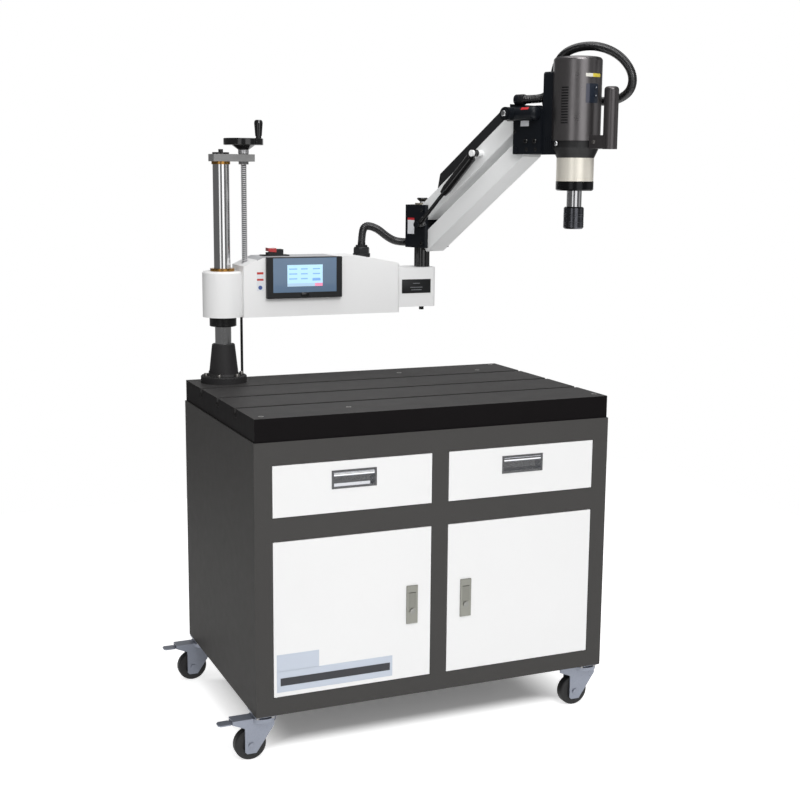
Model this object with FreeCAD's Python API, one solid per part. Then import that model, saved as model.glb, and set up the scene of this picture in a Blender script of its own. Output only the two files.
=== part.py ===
"""Arm tapping machine on a mobile bench.

Millimetres. Origin: middle of the bench footprint, on the floor. X runs right along the bench front,
Y runs from the front to the back, Z is up. The arm is modelled pointing along +X in a frame of its own,
whose origin is the elbow axis and whose -Y side faces the front left, and is then turned into place.
"""
import FreeCAD, Part
import math
import os

V = FreeCAD.Vector
X_AXIS = V(1, 0, 0)
Y_AXIS = V(0, 1, 0)
Z_AXIS = V(0, 0, 1)

# ---- fits ----------------------------------------------------------------------------------------------
RUN_FIT = 0.05  # radial clearance of a shaft turning or sliding in its bore
SEAT = 0.3  # gap between faces of pieces that move apart
PANEL_GAP = 1.5  # dark line round a drawer front or a door

# ---- bench ---------------------------------------------------------------------------------------------
TABLE_LENGTH = 900.0
TABLE_WIDTH = 600.0
TABLE_THICK = 54.0
TABLE_TOP = 800.0
SLOT_PITCH = 150.0
SLOT_COUNT = 3
SLOT_THROAT = 14.0
SLOT_THROAT_DEPTH = 12.0
SLOT_HEAD = 24.0
SLOT_HEAD_DEPTH = 10.0

CABINET_OVERHANG = 3.0
CABINET_LENGTH = TABLE_LENGTH + 2 * CABINET_OVERHANG
CABINET_WIDTH = TABLE_WIDTH + 2 * CABINET_OVERHANG
CABINET_BOTTOM = 110.0
SHEET = 2.5
FRAME_DEPTH = 20.0
STILE = 41.0
TOP_RAIL = 52.0
DRAWER_OPENING = 121.5
MIDDLE_RAIL = 53.5
BOTTOM_RAIL = 42.0

DRAWER_FRONT_THICK = 18.0
DRAWER_TRAY_WIDTH = 372.0
DRAWER_TRAY_DEPTH = 470.0
DRAWER_TRAY_HEIGHT = 92.0
DRAWER_SHEET = 2.0
RUNNER_THICK = 3.0
RUNNER_OVERLAP = 14.0
HANDLE_LENGTH = 110.0
HANDLE_HEIGHT = 43.0
HANDLE_POCKET = 14.0
HANDLE_RIM = 4.0
HANDLE_RIM_PROUD = 1.5
HANDLE_SHEET = 1.5
HANDLE_BAR_RADIUS = 6.0
HANDLE_ABOVE_MIDDLE = 17.0

DOOR_THICK = 18.0
DOOR_SHEET = 2.0
DOOR_PIVOT_IN = 6.0
DOOR_PIVOT_BACK = 3.0
DOOR_PIN_RADIUS = 2.0
DOOR_PIN_LENGTH = 6.0
LOCK_WIDTH = 28.0
LOCK_HEIGHT = 92.0
LOCK_PROUD = 3.0
LOCK_BODY_DEPTH = 16.0
LOCK_FROM_DOOR_EDGE = 34.0
LOCK_TOP = 379.0
PADDLE_WIDTH = 17.0
PADDLE_HEIGHT = 38.0
PADDLE_THICK = 3.0
PADDLE_DROP = 16.0
PADDLE_POCKET = 9.0
PADDLE_PIN_RADIUS = 1.5
PADDLE_LIP = 1.0
LOCK_CYLINDER_RADIUS = 6.5
LOCK_CYLINDER_DROP = 62.0

# ---- casters -------------------------------------------------------------------------------------------
CASTER_FROM_SIDE = 25.5
CASTER_FROM_FRONT = 39.0
CASTER_TRAIL = 31.0
WHEEL_RADIUS = 37.5
WHEEL_WIDTH = 24.0
WHEEL_HUB_RADIUS = 20.0
WHEEL_HUB_RECESS = 3.0
TYRE_ROUND = 5.0
AXLE_RADIUS = 4.0
AXLE_HEAD_RADIUS = 6.5
AXLE_HEAD = 3.0
CASTER_PLATE_LENGTH = 51.0
CASTER_PLATE_WIDTH = 64.0
CASTER_PLATE_THICK = 4.0
KING_PIN_RADIUS = 6.0
RACE_RADIUS = 26.0
RACE_HEIGHT = 4.0
FORK_TOP = 101.0
FORK_RIM = 9.0
FORK_DOME_RADIUS = 32.0
FORK_SHEET = 3.0
FORK_INNER = 28.0
FORK_HORN = 44.0
LEG_HALF = 15.0
LEG_BELOW_AXLE = 20.0
LEVER_LENGTH = 76.0
LEVER_THICK = 3.0
LEVER_PAD_WIDTH = 26.0
LEVER_PAD_LENGTH = 34.0
LEVER_NECK_WIDTH = 16.0
LEVER_PIN_RADIUS = 2.5
LEVER_KNUCKLE = 5.0

# ---- column, turret and lifting screw ------------------------------------------------------------------
COLUMN_FROM_END = 84.0
COLUMN_FROM_BACK = 61.3
COLUMN_X = COLUMN_FROM_END - TABLE_LENGTH / 2
COLUMN_Y = TABLE_WIDTH / 2 - COLUMN_FROM_BACK
TUBE_RADIUS = 21.0
TUBE_WALL = 4.0
FLANGE_RADIUS = 58.75
FLANGE_THICK = 17.6
NECK_FOOT_RADIUS = 37.5
NECK_TOP_RADIUS = 29.25
NECK_HEIGHT = 99.0
FLANGE_BOLTS = 6
FLANGE_BOLT_CIRCLE = 47.0
FLANGE_BOLT_RADIUS = 3.3

BRACKET_BOTTOM = 1359.3
BRACKET_THICK = 18.0
BRACKET_BEHIND_COLUMN = 25.0
BRACKET_PAST_SCREW = 21.8
BRACKET_HALF_DEPTH = 26.0
TOP_BUSH_RADIUS = 23.5
TOP_BUSH_DROP = 7.3
BRACKET_ROOF = 6.0
CAP_RADIUS = 21.3
CAP_THICK = 4.4
CAP_HEAD_RADIUS = 6.0
CAP_HEAD = 7.7
CAP_SHANK_RADIUS = 4.0
TUBE_PLUG = 22.0

SCREW_X = COLUMN_X + 59.2
SCREW_RADIUS = 7.5
SCREW_BOTTOM = 1040.0
SCREW_BOSS_RADIUS = 12.5
SCREW_BOSS_DROP = 7.0
SCREW_COLLAR_RADIUS = 13.5
SCREW_COLLAR = 11.0
WHEEL_CONE_TOP_RADIUS = 30.0
WHEEL_CONE = 11.5
HANDWHEEL_RADIUS = 50.3
HANDWHEEL_EDGE = 1.2
HANDWHEEL_RIM = 17.0
HANDWHEEL_DISH = 6.0
CRANK_OFFSET = 40.0
CRANK_PIN_RADIUS = 4.0
CRANK_GRIP_RADIUS = 11.0
CRANK_GRIP_WAIST_RADIUS = 8.5
CRANK_GRIP_FOOT_RADIUS = 7.2
CRANK_GRIP_FOOT = 6.0
CRANK_GRIP_LENGTH = 46.0

# ---- carriage ------------------------------------------------------------------------------------------
BOX_BOTTOM = 969.0
SLEEVE_RADIUS = 51.2
SLEEVE_TOP = 1085.0
SLEEVE_CHAMFER = 4.0
SLEEVE_BUSH_RADIUS = 25.0
SLEEVE_BUSH_FLANGE = 30.85
SLEEVE_BUSH_FLANGE_THICK = 7.0
RING_RADIUS = 34.5
RING_HEIGHT = 23.0
RING_BELOW = 24.6
BOX_LEFT = COLUMN_X + 41.0
BOX_RIGHT = COLUMN_X + 471.0
BOX_HALF_DEPTH = 51.2
BOX_LEFT_HEIGHT = 129.8
BOX_HEIGHT = 152.3
BOX_SHOULDER_X = COLUMN_X + 90.7
BOX_BEND_X = COLUMN_X + 352.5
BOX_RIGHT_HEIGHT = 132.3
BOX_NOSE_X = COLUMN_X + 464.0
BOX_CORNER = 10.0
BOX_WALL = 4.0
COVER_THICK = 2.5
COVER_LEFT = COLUMN_X + 76.0
COVER_RIGHT = COLUMN_X + 291.0
BOX_ROOF = 6.0
WELL_WALL = 6.0
NUT_RADIUS = 13.5
NUT_TOP = 1095.0
NUT_HEIGHT = 22.0

SCREEN_LEFT = COLUMN_X + 99.0
SCREEN_WIDTH = 203.0
SCREEN_BOTTOM = 1016.0
SCREEN_HEIGHT = 105.0
SCREEN_PROUD = 12.0
SCREEN_CORNER = 2.0
SCREEN_BEVEL = 1.0
GLASS_MARGIN_SIDE = 16.0
GLASS_MARGIN_BOTTOM = 15.0
GLASS_MARGIN_TOP = 2.5
GLASS_DEPTH = 3.0
SWITCH_LEFT = COLUMN_X + 104.0
SWITCH_LENGTH = 70.0
SWITCH_WIDTH = 34.0
SWITCH_PLATE = 3.0
SWITCH_HOOD_LENGTH = 40.0
SWITCH_HOOD_WIDTH = 26.0
SWITCH_HOOD = 14.0
ROCKER_LENGTH = 21.0
ROCKER_PROUD = 3.5
ROCKER_SKIRT = 5.0
ROCKER_STEP = 8.0
ROCKER_TAB_WIDTH = 14.0
ROCKER_TAB_HALF_LENGTH = 5.0
ROCKER_WELL = 18.0
ROCKER_PIN_RADIUS = 1.5
ROCKER_PIN_DROP = 11.0
ROCKER_SWING = 14.0

END_LEFT = COLUMN_X + 461.0
END_RIGHT = COLUMN_X + 582.0
END_HALF_DEPTH = 40.0
END_BOTTOM = 981.6
END_TOP = 1086.3
END_ROUND = 14.0
ELBOW_X = COLUMN_X + 556.0
ELBOW_SHAFT_RADIUS = 21.0
ELBOW_SHAFT_TOP = 1248.0
ELBOW_NUT_RADIUS = 6.5
ELBOW_NUT_DROP = 12.0

HOSE_GLAND_X = COLUMN_X + 380.3
HOSE_GLAND_BASE_RADIUS = 23.0
HOSE_GLAND_HEX = 39.0
HOSE_GLAND_HEX_BOTTOM = 1124.0
HOSE_GLAND_HEX_TOP = 1141.0
HOSE_GLAND_NECK_RADIUS = 15.5
HOSE_GLAND_TOP = 1146.0
HOSE_RADIUS = 10.5
LEAD_RADIUS = 3.5
LEAD_GLAND_X = COLUMN_X + 81.0
LEAD_GLAND_Z = 1000.0
LEAD_GLAND_LENGTH = 14.0
LEAD_GLAND_RADIUS = 9.0

# ---- arm, in its own frame: x along the arm, -y the near side ------------------------------------------
ARM_HEADING = -68.0
ARM_LIFT = 37.3
LINK_LENGTH = 395.0
PIVOT_X = 45.0
LOWER_PIVOT_Z = 1152.0
PIVOT_RISE = 86.6
PIN_RADIUS = 6.0
PIN_HEAD_RADIUS = 7.0
PIN_HEAD = 2.5
CHEEK_OUTER = 47.0
CHEEK_THICK = 12.5
ELBOW_BOTTOM = 1139.0
ELBOW_TOP = 1252.0
ELBOW_BACK = 17.0
ELBOW_FRONT = 54.4
ELBOW_THREAD = 30.0
ELBOW_WALL = 4.0
ELBOW_BACK_WALL = 8.0
ELBOW_CAP_ROOM = 4.0
ELBOW_WASHER_RADIUS = 20.0
ELBOW_WASHER = 4.0
ELBOW_STEM_RADIUS = 7.0
ELBOW_KNOB_BOTTOM = 1260.0
ELBOW_KNOB_RADIUS = 14.8
ELBOW_KNOB = 10.0
ELBOW_KNOB_CONE = 6.0

LINK_HALF_WIDTH = 34.0
LINK_WALL = 4.0
LINK_PAST_PIN = 10.3
LINK_EDGE_ROUND = 2.0
LINK_EDGE_MIN = 300.0
LINK_CORNER = 10.0
LOWER_LINK_BELOW = 20.5
LOWER_LINK_ABOVE = 23.5
UPPER_LINK_BELOW = 24.2
UPPER_LINK_ABOVE = 20.5
LINK_COVER_START = 69.0
LINK_COVER_SLANT = 28.0
LINK_COVER_LENGTH = 291.0
LINK_COVER_HEIGHT = 24.0
LINK_COVER_WALL = 2.0

SPRING_OUT = 60.0
SPRING_FOOT_X = 46.0
SPRING_FOOT_Z = 1200.8
SPRING_HEAD_AT = 241.3
SPRING_PIN_RADIUS = 5.0
SPRING_EYE_RADIUS = 9.0
SPRING_EYE_WIDTH = 14.0
SPRING_ROD_RADIUS = 5.0
SPRING_SOCKET = 24.0
SPRING_ROD_LENGTH = 185.0
SPRING_CYLINDER_RADIUS = 12.5
SPRING_COLLAR_RADIUS = 10.0
SPRING_COLLAR = 16.0
SPRING_BORE_RADIUS = 8.8
SPRING_CYLINDER_START = 120.0
SPRING_CYLINDER_END = 250.0
SPRING_END_WALL = 8.0
SPRING_PIN_HEAD_RADIUS = 8.0
SPRING_PIN_HEAD = 6.0

# ---- head, in the arm's frame --------------------------------------------------------------------------
HEAD_BACK = -9.0  # from the lower head pivot
HEAD_FRONT = 77.5
HEAD_WEB_FROM = 21.0
HEAD_WEB_BEHIND = 12.0
HEAD_BOTTOM = 1382.0
HEAD_TOP = 1500.0
HEAD_ROOF = 1493.0
HEAD_ROUND = 12.0
BARREL_RADIUS = 16.0
BARREL_OUT = 91.0
BARREL_CAP_RADIUS = 12.0
HEAD_SLEEVE_OUT = 58.0
HEAD_SLEEVE_RADIUS = 16.8
HEAD_SLEEVE_START = 343.0
HEAD_SLEEVE_END = 436.0
HEAD_SLEEVE_ROUND = 12.0
LUG_DROP = 30.0
BARREL_CAP = 4.0
PLATE_HALF_WIDTH = 41.0
SADDLE_REACH = 47.3
PLATE_BOTTOM = 1381.0
PLATE_TOP = 1576.0
PLATE_ROUND = 8.0
MOTOR_X = 507.0
MOTOR_RADIUS = 58.2
MOTOR_BOTTOM = 1413.0
MOTOR_TOP = 1608.0
MOTOR_ROUND = 9.0
MOTOR_COLLAR_RADIUS = 55.5
MOTOR_COLLAR_BOTTOM = 1396.6
VENTS = 14
VENT_BOTTOM = 1452.6
VENT_PITCH = 6.27
VENT_HEIGHT = 3.0
VENT_LENGTH = 19.0
VENT_DEPTH = 5.0
VENT_SIDE_DEG = -83.0
RING_TOP = 1373.0
GEAR_RING_RADIUS = 44.8
GEAR_RING_BOTTOM = 1317.7
NOSE_RADIUS = 45.5
NOSE_BOTTOM = 1295.4
NOSE_ROUND = 3.0
SPINDLE_RADIUS = 18.15
SPINDLE_STUB_RADIUS = 12.0
SPINDLE_STUB = 16.0
CHUCK_TOP = 1257.0
CHUCK_BOTTOM = 1204.0
CHUCK_RADIUS = 24.4
CHUCK_ROUND = 3.0
TAP_BORE_RADIUS = 9.5
TAP_BORE_DEPTH = 34.0
CHUCK_RELEASE = 6.0

GRIP_X = 607.0
GRIP_RADIUS = 17.0
GRIP_BOTTOM = 1393.0
GRIP_TOP = 1537.0
GRIP_ROUND = 8.0
FOOT_BOTTOM = 1394.0
FOOT_TOP = 1425.0
FOOT_HALF_WIDTH = 21.0
BUTTON_RADIUS = 4.5
BUTTON_PROUD = 2.0
BUTTON_SUNK = 4.0
BUTTON_SIDE_DEG = -6.0
BUTTON_HEIGHTS = {"button_forward": 1536.0, "button_reverse": 1517.0}

# ---- hoses and mains lead: hand-laid routes, each point a bend -----------------------------------------
HOSE_BOX_ROUTE = [
    (14.3, 238.7, 1146.0),
    (14.3, 238.7, 1162.0),
    (21.0, 240.0, 1199.0),
    (60.0, 245.0, 1190.0),
    (94.0, 252.0, 1165.0),
    (127.0, 260.0, 1151.0),
    (158.0, 260.0, 1151.0),
]
HOSE_SOCKET_WALL = 2.5
HOSE_SOCKET_LENGTH = 14.0
HOSE_SOCKET_END_X = 166.0
HOSE_HEAD_ROUTE = [
    (368.0, 74.0, 1512.0),
    (394.0, 74.0, 1512.0),
    (428.0, 78.0, 1517.0),
    (470.0, 80.0, 1513.0),
    (520.0, 80.0, 1508.0),
    (574.0, 77.0, 1511.0),
    (617.0, 66.0, 1532.0),
    (630.0, 50.0, 1570.0),
    (604.0, 32.0, 1609.0),
    (552.0, 18.0, 1630.0),
    (497.0, 8.0, 1640.0),
    (445.0, 12.0, 1634.0),
    (421.0, 18.0, 1598.0),
    (423.0, 16.0, 1557.0),
    (425.0, -12.0, 1516.0),
    (400.0, -48.0, 1512.0),
    (374.0, -48.0, 1512.0),
]
LEAD_UPPER_ROUTE = [
    (-285.0, 303.9, 1000.0),
    (-285.0, 328.0, 1000.0),
    (-285.0, 345.0, 986.0),
    (-284.0, 352.0, 966.0),
    (-284.0, 352.0, 930.0),
]
LEAD_LOWER_ROUTE = [
    (-284.0, 352.0, 930.0),
    (-284.0, 352.0, 800.0),
    (-283.0, 350.0, 700.0),
    (-284.0, 354.0, 605.0),
    (-288.0, 355.0, 515.0),
    (-290.0, 350.0, 425.0),
    (-285.0, 346.0, 335.0),
    (-274.0, 348.0, 245.0),
    (-259.0, 356.0, 160.0),
    (-240.0, 368.0, 90.0),
    (-214.0, 383.0, 38.0),
    (-178.0, 399.0, 10.0),
    (-138.0, 405.5, 3.6),
    (-107.2, 405.5, 3.6),
]
COIL_X = -90.0
COIL_Y = 365.0
COIL_TURN_RADIUS = 37.0
COIL_ROWS = 2
COIL_LAYERS = 3
PLUG_LENGTH = 46.0
PLUG_WIDTH = 40.0
PLUG_HEIGHT = 30.0
PLUG_PIN = 17.0
PLUG_PIN_WIDTH = 6.3
PLUG_PIN_THICK = 1.6
PLUG_PIN_PITCH = 12.7

# ---- places worked out from the sizes above ------------------------------------------------------------
CABINET_TOP = TABLE_TOP - TABLE_THICK
FRONT = -CABINET_WIDTH / 2
BACK = CABINET_WIDTH / 2
OPENING = (CABINET_LENGTH - 3 * STILE) / 2
OPENING_MIDDLE = (STILE + OPENING) / 2
DRAWER_TOP = CABINET_TOP - TOP_RAIL
DRAWER_BOTTOM = DRAWER_TOP - DRAWER_OPENING
DOOR_TOP = DRAWER_BOTTOM - MIDDLE_RAIL
DOOR_BOTTOM = CABINET_BOTTOM + BOTTOM_RAIL
SHELF_Z = DOOR_TOP + MIDDLE_RAIL / 2
TRAY_BOTTOM = DRAWER_BOTTOM + PANEL_GAP + 6.0
BRACKET_TOP = BRACKET_BOTTOM + BRACKET_THICK
COLLAR_TOP = BRACKET_TOP + SEAT + SCREW_COLLAR
HANDWHEEL_BOTTOM = COLLAR_TOP + WHEEL_CONE
HANDWHEEL_TOP = HANDWHEEL_BOTTOM + HANDWHEEL_RIM
BOX_FRONT = COLUMN_Y - BOX_HALF_DEPTH
BOX_BACK = COLUMN_Y + BOX_HALF_DEPTH
BOX_TOP = BOX_BOTTOM + BOX_HEIGHT
WELL_RADIUS = SCREW_RADIUS + WELL_WALL
UPPER_PIVOT_Z = LOWER_PIVOT_Z + PIVOT_RISE
HEAD_PIVOT_X = PIVOT_X + LINK_LENGTH * math.cos(math.radians(ARM_LIFT))
HEAD_PIVOT_Z = LOWER_PIVOT_Z + LINK_LENGTH * math.sin(math.radians(ARM_LIFT))
PLATE_X = HEAD_PIVOT_X + HEAD_FRONT
SPRING_HEAD_X = PIVOT_X + SPRING_HEAD_AT * math.cos(math.radians(ARM_LIFT))
SPRING_HEAD_Z = UPPER_PIVOT_Z + SPRING_HEAD_AT * math.sin(math.radians(ARM_LIFT))
SPRING_LENGTH = math.hypot(SPRING_HEAD_X - SPRING_FOOT_X, SPRING_HEAD_Z - SPRING_FOOT_Z)
SPRING_LIFT = math.degrees(math.atan2(SPRING_HEAD_Z - SPRING_FOOT_Z, SPRING_HEAD_X - SPRING_FOOT_X))
COIL_OUTER = COIL_TURN_RADIUS + COIL_ROWS * LEAD_RADIUS
COIL_INNER = COIL_TURN_RADIUS - COIL_ROWS * LEAD_RADIUS
COIL_HEIGHT = COIL_LAYERS * 2 * LEAD_RADIUS
CASTER_X = CABINET_LENGTH / 2 - CASTER_FROM_SIDE
CASTER_Y = CABINET_WIDTH / 2 - CASTER_FROM_FRONT
CASTERS = {"front_left": (-1, -1), "front_right": (1, -1), "rear_left": (-1, 1), "rear_right": (1, 1)}
SIDES = {"left": -1, "right": 1}


# ---- shape helpers -------------------------------------------------------------------------------------
def block(x0, x1, y0, y1, z0, z1):
    """Box between two corners."""
    return Part.makeBox(x1 - x0, y1 - y0, z1 - z0, V(x0, y0, z0))


def round_bar(radius, x, y, z0, z1):
    """Upright cylinder from z0 to z1."""
    return Part.makeCylinder(radius, z1 - z0, V(x, y, z0))


def cross_bar(radius, x, z, y0, y1):
    """Cylinder along Y from y0 to y1."""
    return Part.makeCylinder(radius, y1 - y0, V(x, y0, z), Y_AXIS)


def side_bar(radius, y, z, x0, x1):
    """Cylinder along X from x0 to x1."""
    return Part.makeCylinder(radius, x1 - x0, V(x0, y, z), X_AXIS)


def turned(profile, x, y):
    """Solid of revolution about the upright axis at x, y, from (radius, z) points."""
    points = [V(x + r, y, z) for r, z in profile]
    face = Part.Face(Part.makePolygon(points + points[:1]))
    return face.revolve(V(x, y, 0), Z_AXIS, 360)


def side_plate(outline, y0, y1):
    """Prism along Y from an outline of (x, z) points."""
    points = [V(x, y0, z) for x, z in outline]
    face = Part.Face(Part.makePolygon(points + points[:1]))
    return face.extrude(V(0, y1 - y0, 0))


def flat_plate(outline, z0, z1):
    """Prism along Z from an outline of (x, y) points."""
    points = [V(x, y, z0) for x, y in outline]
    face = Part.Face(Part.makePolygon(points + points[:1]))
    return face.extrude(V(0, 0, z1 - z0))


def joined(*shapes):
    """One solid from touching or overlapping shapes."""
    first, rest = shapes[0], list(shapes[1:])
    return first.fuse(rest).removeSplitter() if rest else first


def without(shape, *tools):
    """The shape with the tools cut away."""
    return shape.cut(list(tools))


def upright_edges(shape, near):
    """Upright straight edges whose middle passes the test near(x, y)."""
    picked = []
    for edge in shape.Edges:
        low, high = edge.Vertexes[0].Point, edge.Vertexes[-1].Point
        middle = (low + high) * 0.5
        if abs(high.x - low.x) + abs(high.y - low.y) < 0.01 and near(middle.x, middle.y):
            picked.append(edge)
    return picked


def circle_edges(shape, z, radius):
    """Level circular edges of one radius at one height."""
    return [
        edge
        for edge in shape.Edges
        if isinstance(edge.Curve, Part.Circle)
        and abs(edge.Curve.Radius - radius) < 0.01
        and abs(edge.BoundBox.ZMin - z) < 0.01
        and edge.BoundBox.ZLength < 0.01
    ]


def in_arm(shape):
    """Turns a shape from the arm's own frame into the machine's."""
    shape = shape.copy()
    shape.rotate(V(0, 0, 0), Z_AXIS, ARM_HEADING)
    shape.translate(V(ELBOW_X, COLUMN_Y, 0))
    return shape


def lifted(shape, x, z, angle):
    """Tips a shape drawn along +X up by an angle and puts its start at x, z in the arm's frame."""
    shape = shape.copy()
    shape.rotate(V(0, 0, 0), Y_AXIS, -angle)
    shape.translate(V(x, 0, z))
    return shape


def arm_point(point):
    """A point of the arm's own frame, in the machine's."""
    turn = math.radians(ARM_HEADING)
    x, y, z = point
    return (
        ELBOW_X + x * math.cos(turn) - y * math.sin(turn),
        COLUMN_Y + x * math.sin(turn) + y * math.cos(turn),
        z,
    )


def hose(name, route, radius):
    """Tube along straight runs joined by tangent arcs. Prints the tightest bend and compares the volume."""
    points = [V(*p) for p in route]
    edges = []
    start = points[0]
    tightest = None
    for before, corner, after in zip(points, points[1:], points[2:]):
        arriving = (corner - before).normalize()
        leaving = (after - corner).normalize()
        turn = arriving.getAngle(leaving)
        reach = 0.45 * min((corner - before).Length, (after - corner).Length)
        bend = reach / math.tan(turn / 2)
        tightest = bend if tightest is None else min(tightest, bend)
        enter = corner - arriving * reach
        leave = corner + leaving * reach
        inward = (leaving - arriving).normalize()
        middle = corner + inward * (bend / math.cos(turn / 2) - bend)
        edges.append(Part.LineSegment(start, enter).toShape())
        edges.append(Part.Arc(enter, middle, leave).toShape())
        start = leave
    edges.append(Part.LineSegment(start, points[-1]).toShape())
    path = Part.Wire(edges)
    ring = Part.Wire([Part.Circle(points[0], points[1] - points[0], radius).toShape()])
    tube = path.makePipeShell([ring], True, True)
    share = tube.Volume / (math.pi * radius**2 * path.Length)
    print(f"{name}: length {path.Length:.0f} mm, tightest bend {tightest:.0f} mm, volume share {share:.4f}")
    return tube


# ---- bench ---------------------------------------------------------------------------------------------
def table_top():
    """Slab with T-slots along its length."""
    slab = block(-TABLE_LENGTH / 2, TABLE_LENGTH / 2, -TABLE_WIDTH / 2, TABLE_WIDTH / 2, CABINET_TOP,
                 TABLE_TOP)
    slots = []
    head_top = TABLE_TOP - SLOT_THROAT_DEPTH
    for i in range(SLOT_COUNT):
        y = (i - (SLOT_COUNT - 1) / 2) * SLOT_PITCH
        half = TABLE_LENGTH / 2
        slots.append(block(-half, half, y - SLOT_THROAT / 2, y + SLOT_THROAT / 2, head_top, TABLE_TOP))
        slots.append(block(-half, half, y - SLOT_HEAD / 2, y + SLOT_HEAD / 2, head_top - SLOT_HEAD_DEPTH,
                           head_top))
    low = TABLE_TOP - FLANGE_THICK
    bolts = [round_bar(FLANGE_BOLT_RADIUS, x, y, low, TABLE_TOP) for x, y in flange_bolt_places()]
    return without(slab, *slots, *bolts)


def flange_bolt_places():
    """Centres of the bolts that hold the column's flange."""
    step = 2 * math.pi / FLANGE_BOLTS
    return [
        (COLUMN_X + FLANGE_BOLT_CIRCLE * math.cos(i * step),
         COLUMN_Y + FLANGE_BOLT_CIRCLE * math.sin(i * step))
        for i in range(FLANGE_BOLTS)
    ]


def door_axis_x(side):
    """Where a door's pivot pins stand."""
    return side * (OPENING_MIDDLE + OPENING / 2 - PANEL_GAP - DOOR_PIVOT_IN)


def cabinet_body():
    """Folded steel cabinet: frame, shelf, middle wall, drawer runners and door pivot holes."""
    half = CABINET_LENGTH / 2
    shell = block(-half, half, FRONT, BACK, CABINET_BOTTOM, CABINET_TOP)
    cuts = []
    runners = []
    for side in SIDES.values():
        middle = side * OPENING_MIDDLE
        wall = side * (half - SHEET)
        partition = side * SHEET / 2
        low_x, high_x = min(wall, partition), max(wall, partition)
        inner_front = FRONT + FRAME_DEPTH
        cuts.append(block(low_x, high_x, inner_front, BACK - SHEET, SHELF_Z + SHEET / 2,
                          CABINET_TOP - SHEET))
        cuts.append(block(low_x, high_x, inner_front, BACK - SHEET, CABINET_BOTTOM + SHEET,
                          SHELF_Z - SHEET / 2))
        left, right = middle - OPENING / 2, middle + OPENING / 2
        cuts.append(block(left, right, FRONT, inner_front, DRAWER_BOTTOM, DRAWER_TOP))
        cuts.append(block(left, right, FRONT, inner_front, DOOR_BOTTOM, DOOR_TOP))
        for edge, sign in ((wall, -side), (partition, side)):
            tray_side = middle - sign * DRAWER_TRAY_WIDTH / 2
            tip = tray_side + sign * RUNNER_OVERLAP
            top = TRAY_BOTTOM - SEAT
            runners.append(
                block(min(edge, tip), max(edge, tip), inner_front, inner_front + DRAWER_TRAY_DEPTH,
                      top - RUNNER_THICK, top)
            )
    body = without(shell, *cuts)
    body = joined(body, *runners)
    holes = []
    for side in SIDES.values():
        x, y = door_axis_x(side), FRONT + DOOR_PIVOT_BACK
        radius = DOOR_PIN_RADIUS + RUN_FIT
        holes.append(round_bar(radius, x, y, DOOR_TOP, DOOR_TOP + DOOR_PIN_LENGTH + SEAT))
        holes.append(round_bar(radius, x, y, DOOR_BOTTOM - DOOR_PIN_LENGTH - SEAT, DOOR_BOTTOM))
    return without(body, *holes)


def handle_middle(side):
    """Centre of a drawer's handle on its front face."""
    return side * OPENING_MIDDLE, (DRAWER_BOTTOM + DRAWER_TOP) / 2 + HANDLE_ABOVE_MIDDLE


def drawer(side):
    """Drawer front with a handle pocket, and a sheet tray behind it."""
    middle = side * OPENING_MIDDLE
    half = OPENING / 2 - PANEL_GAP
    face_back = FRONT + DRAWER_FRONT_THICK
    front = block(middle - half, middle + half, FRONT, face_back, DRAWER_BOTTOM + PANEL_GAP,
                  DRAWER_TOP - PANEL_GAP)
    x, z = handle_middle(side)
    pocket_x = HANDLE_LENGTH / 2 - HANDLE_RIM
    pocket_z = HANDLE_HEIGHT / 2 - HANDLE_RIM
    pocket = block(x - pocket_x, x + pocket_x, FRONT, FRONT + HANDLE_POCKET, z - pocket_z, z + pocket_z)
    tray_x = DRAWER_TRAY_WIDTH / 2
    back = face_back + DRAWER_TRAY_DEPTH - FRAME_DEPTH
    tray = block(middle - tray_x, middle + tray_x, face_back, back, TRAY_BOTTOM,
                 TRAY_BOTTOM + DRAWER_TRAY_HEIGHT)
    room = block(middle - tray_x + DRAWER_SHEET, middle + tray_x - DRAWER_SHEET, face_back,
                 back - DRAWER_SHEET,
                 TRAY_BOTTOM + DRAWER_SHEET, TRAY_BOTTOM + DRAWER_TRAY_HEIGHT)
    return joined(without(front, pocket), without(tray, room))


def drawer_handle(side):
    """Pressed cup with a rim and a bar across its mouth."""
    x, z = handle_middle(side)
    half_x, half_z = HANDLE_LENGTH / 2, HANDLE_HEIGHT / 2
    cup_x = half_x - HANDLE_RIM - RUN_FIT
    cup_z = half_z - HANDLE_RIM - RUN_FIT
    floor = FRONT + HANDLE_POCKET - RUN_FIT
    rim = block(x - half_x, x + half_x, FRONT - HANDLE_RIM_PROUD, FRONT, z - half_z, z + half_z)
    cup = block(x - cup_x, x + cup_x, FRONT, floor, z - cup_z, z + cup_z)
    room = block(x - cup_x + HANDLE_SHEET, x + cup_x - HANDLE_SHEET, FRONT - HANDLE_RIM_PROUD,
                 floor - HANDLE_SHEET,
                 z - cup_z + HANDLE_SHEET, z + cup_z - HANDLE_SHEET)
    bar = side_bar(HANDLE_BAR_RADIUS, FRONT + HANDLE_BAR_RADIUS - HANDLE_RIM_PROUD,
                   z + cup_z - HANDLE_BAR_RADIUS,
                   x - cup_x, x + cup_x)
    return joined(without(joined(rim, cup), room), bar)


def lock_middle(side):
    """X of the lock on a door, beside the door's free edge."""
    return side * (STILE / 2 + PANEL_GAP + LOCK_FROM_DOOR_EDGE + LOCK_WIDTH / 2)


def paddle_pocket(side, slack, depth):
    """Room of the lock paddle, or the paddle's own body when slack is negative."""
    x = lock_middle(side)
    top = LOCK_TOP - PADDLE_DROP
    half = PADDLE_WIDTH / 2 + slack
    face = FRONT - LOCK_PROUD
    return block(x - half, x + half, face, face + depth, top - PADDLE_HEIGHT - slack, top + slack)


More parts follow.
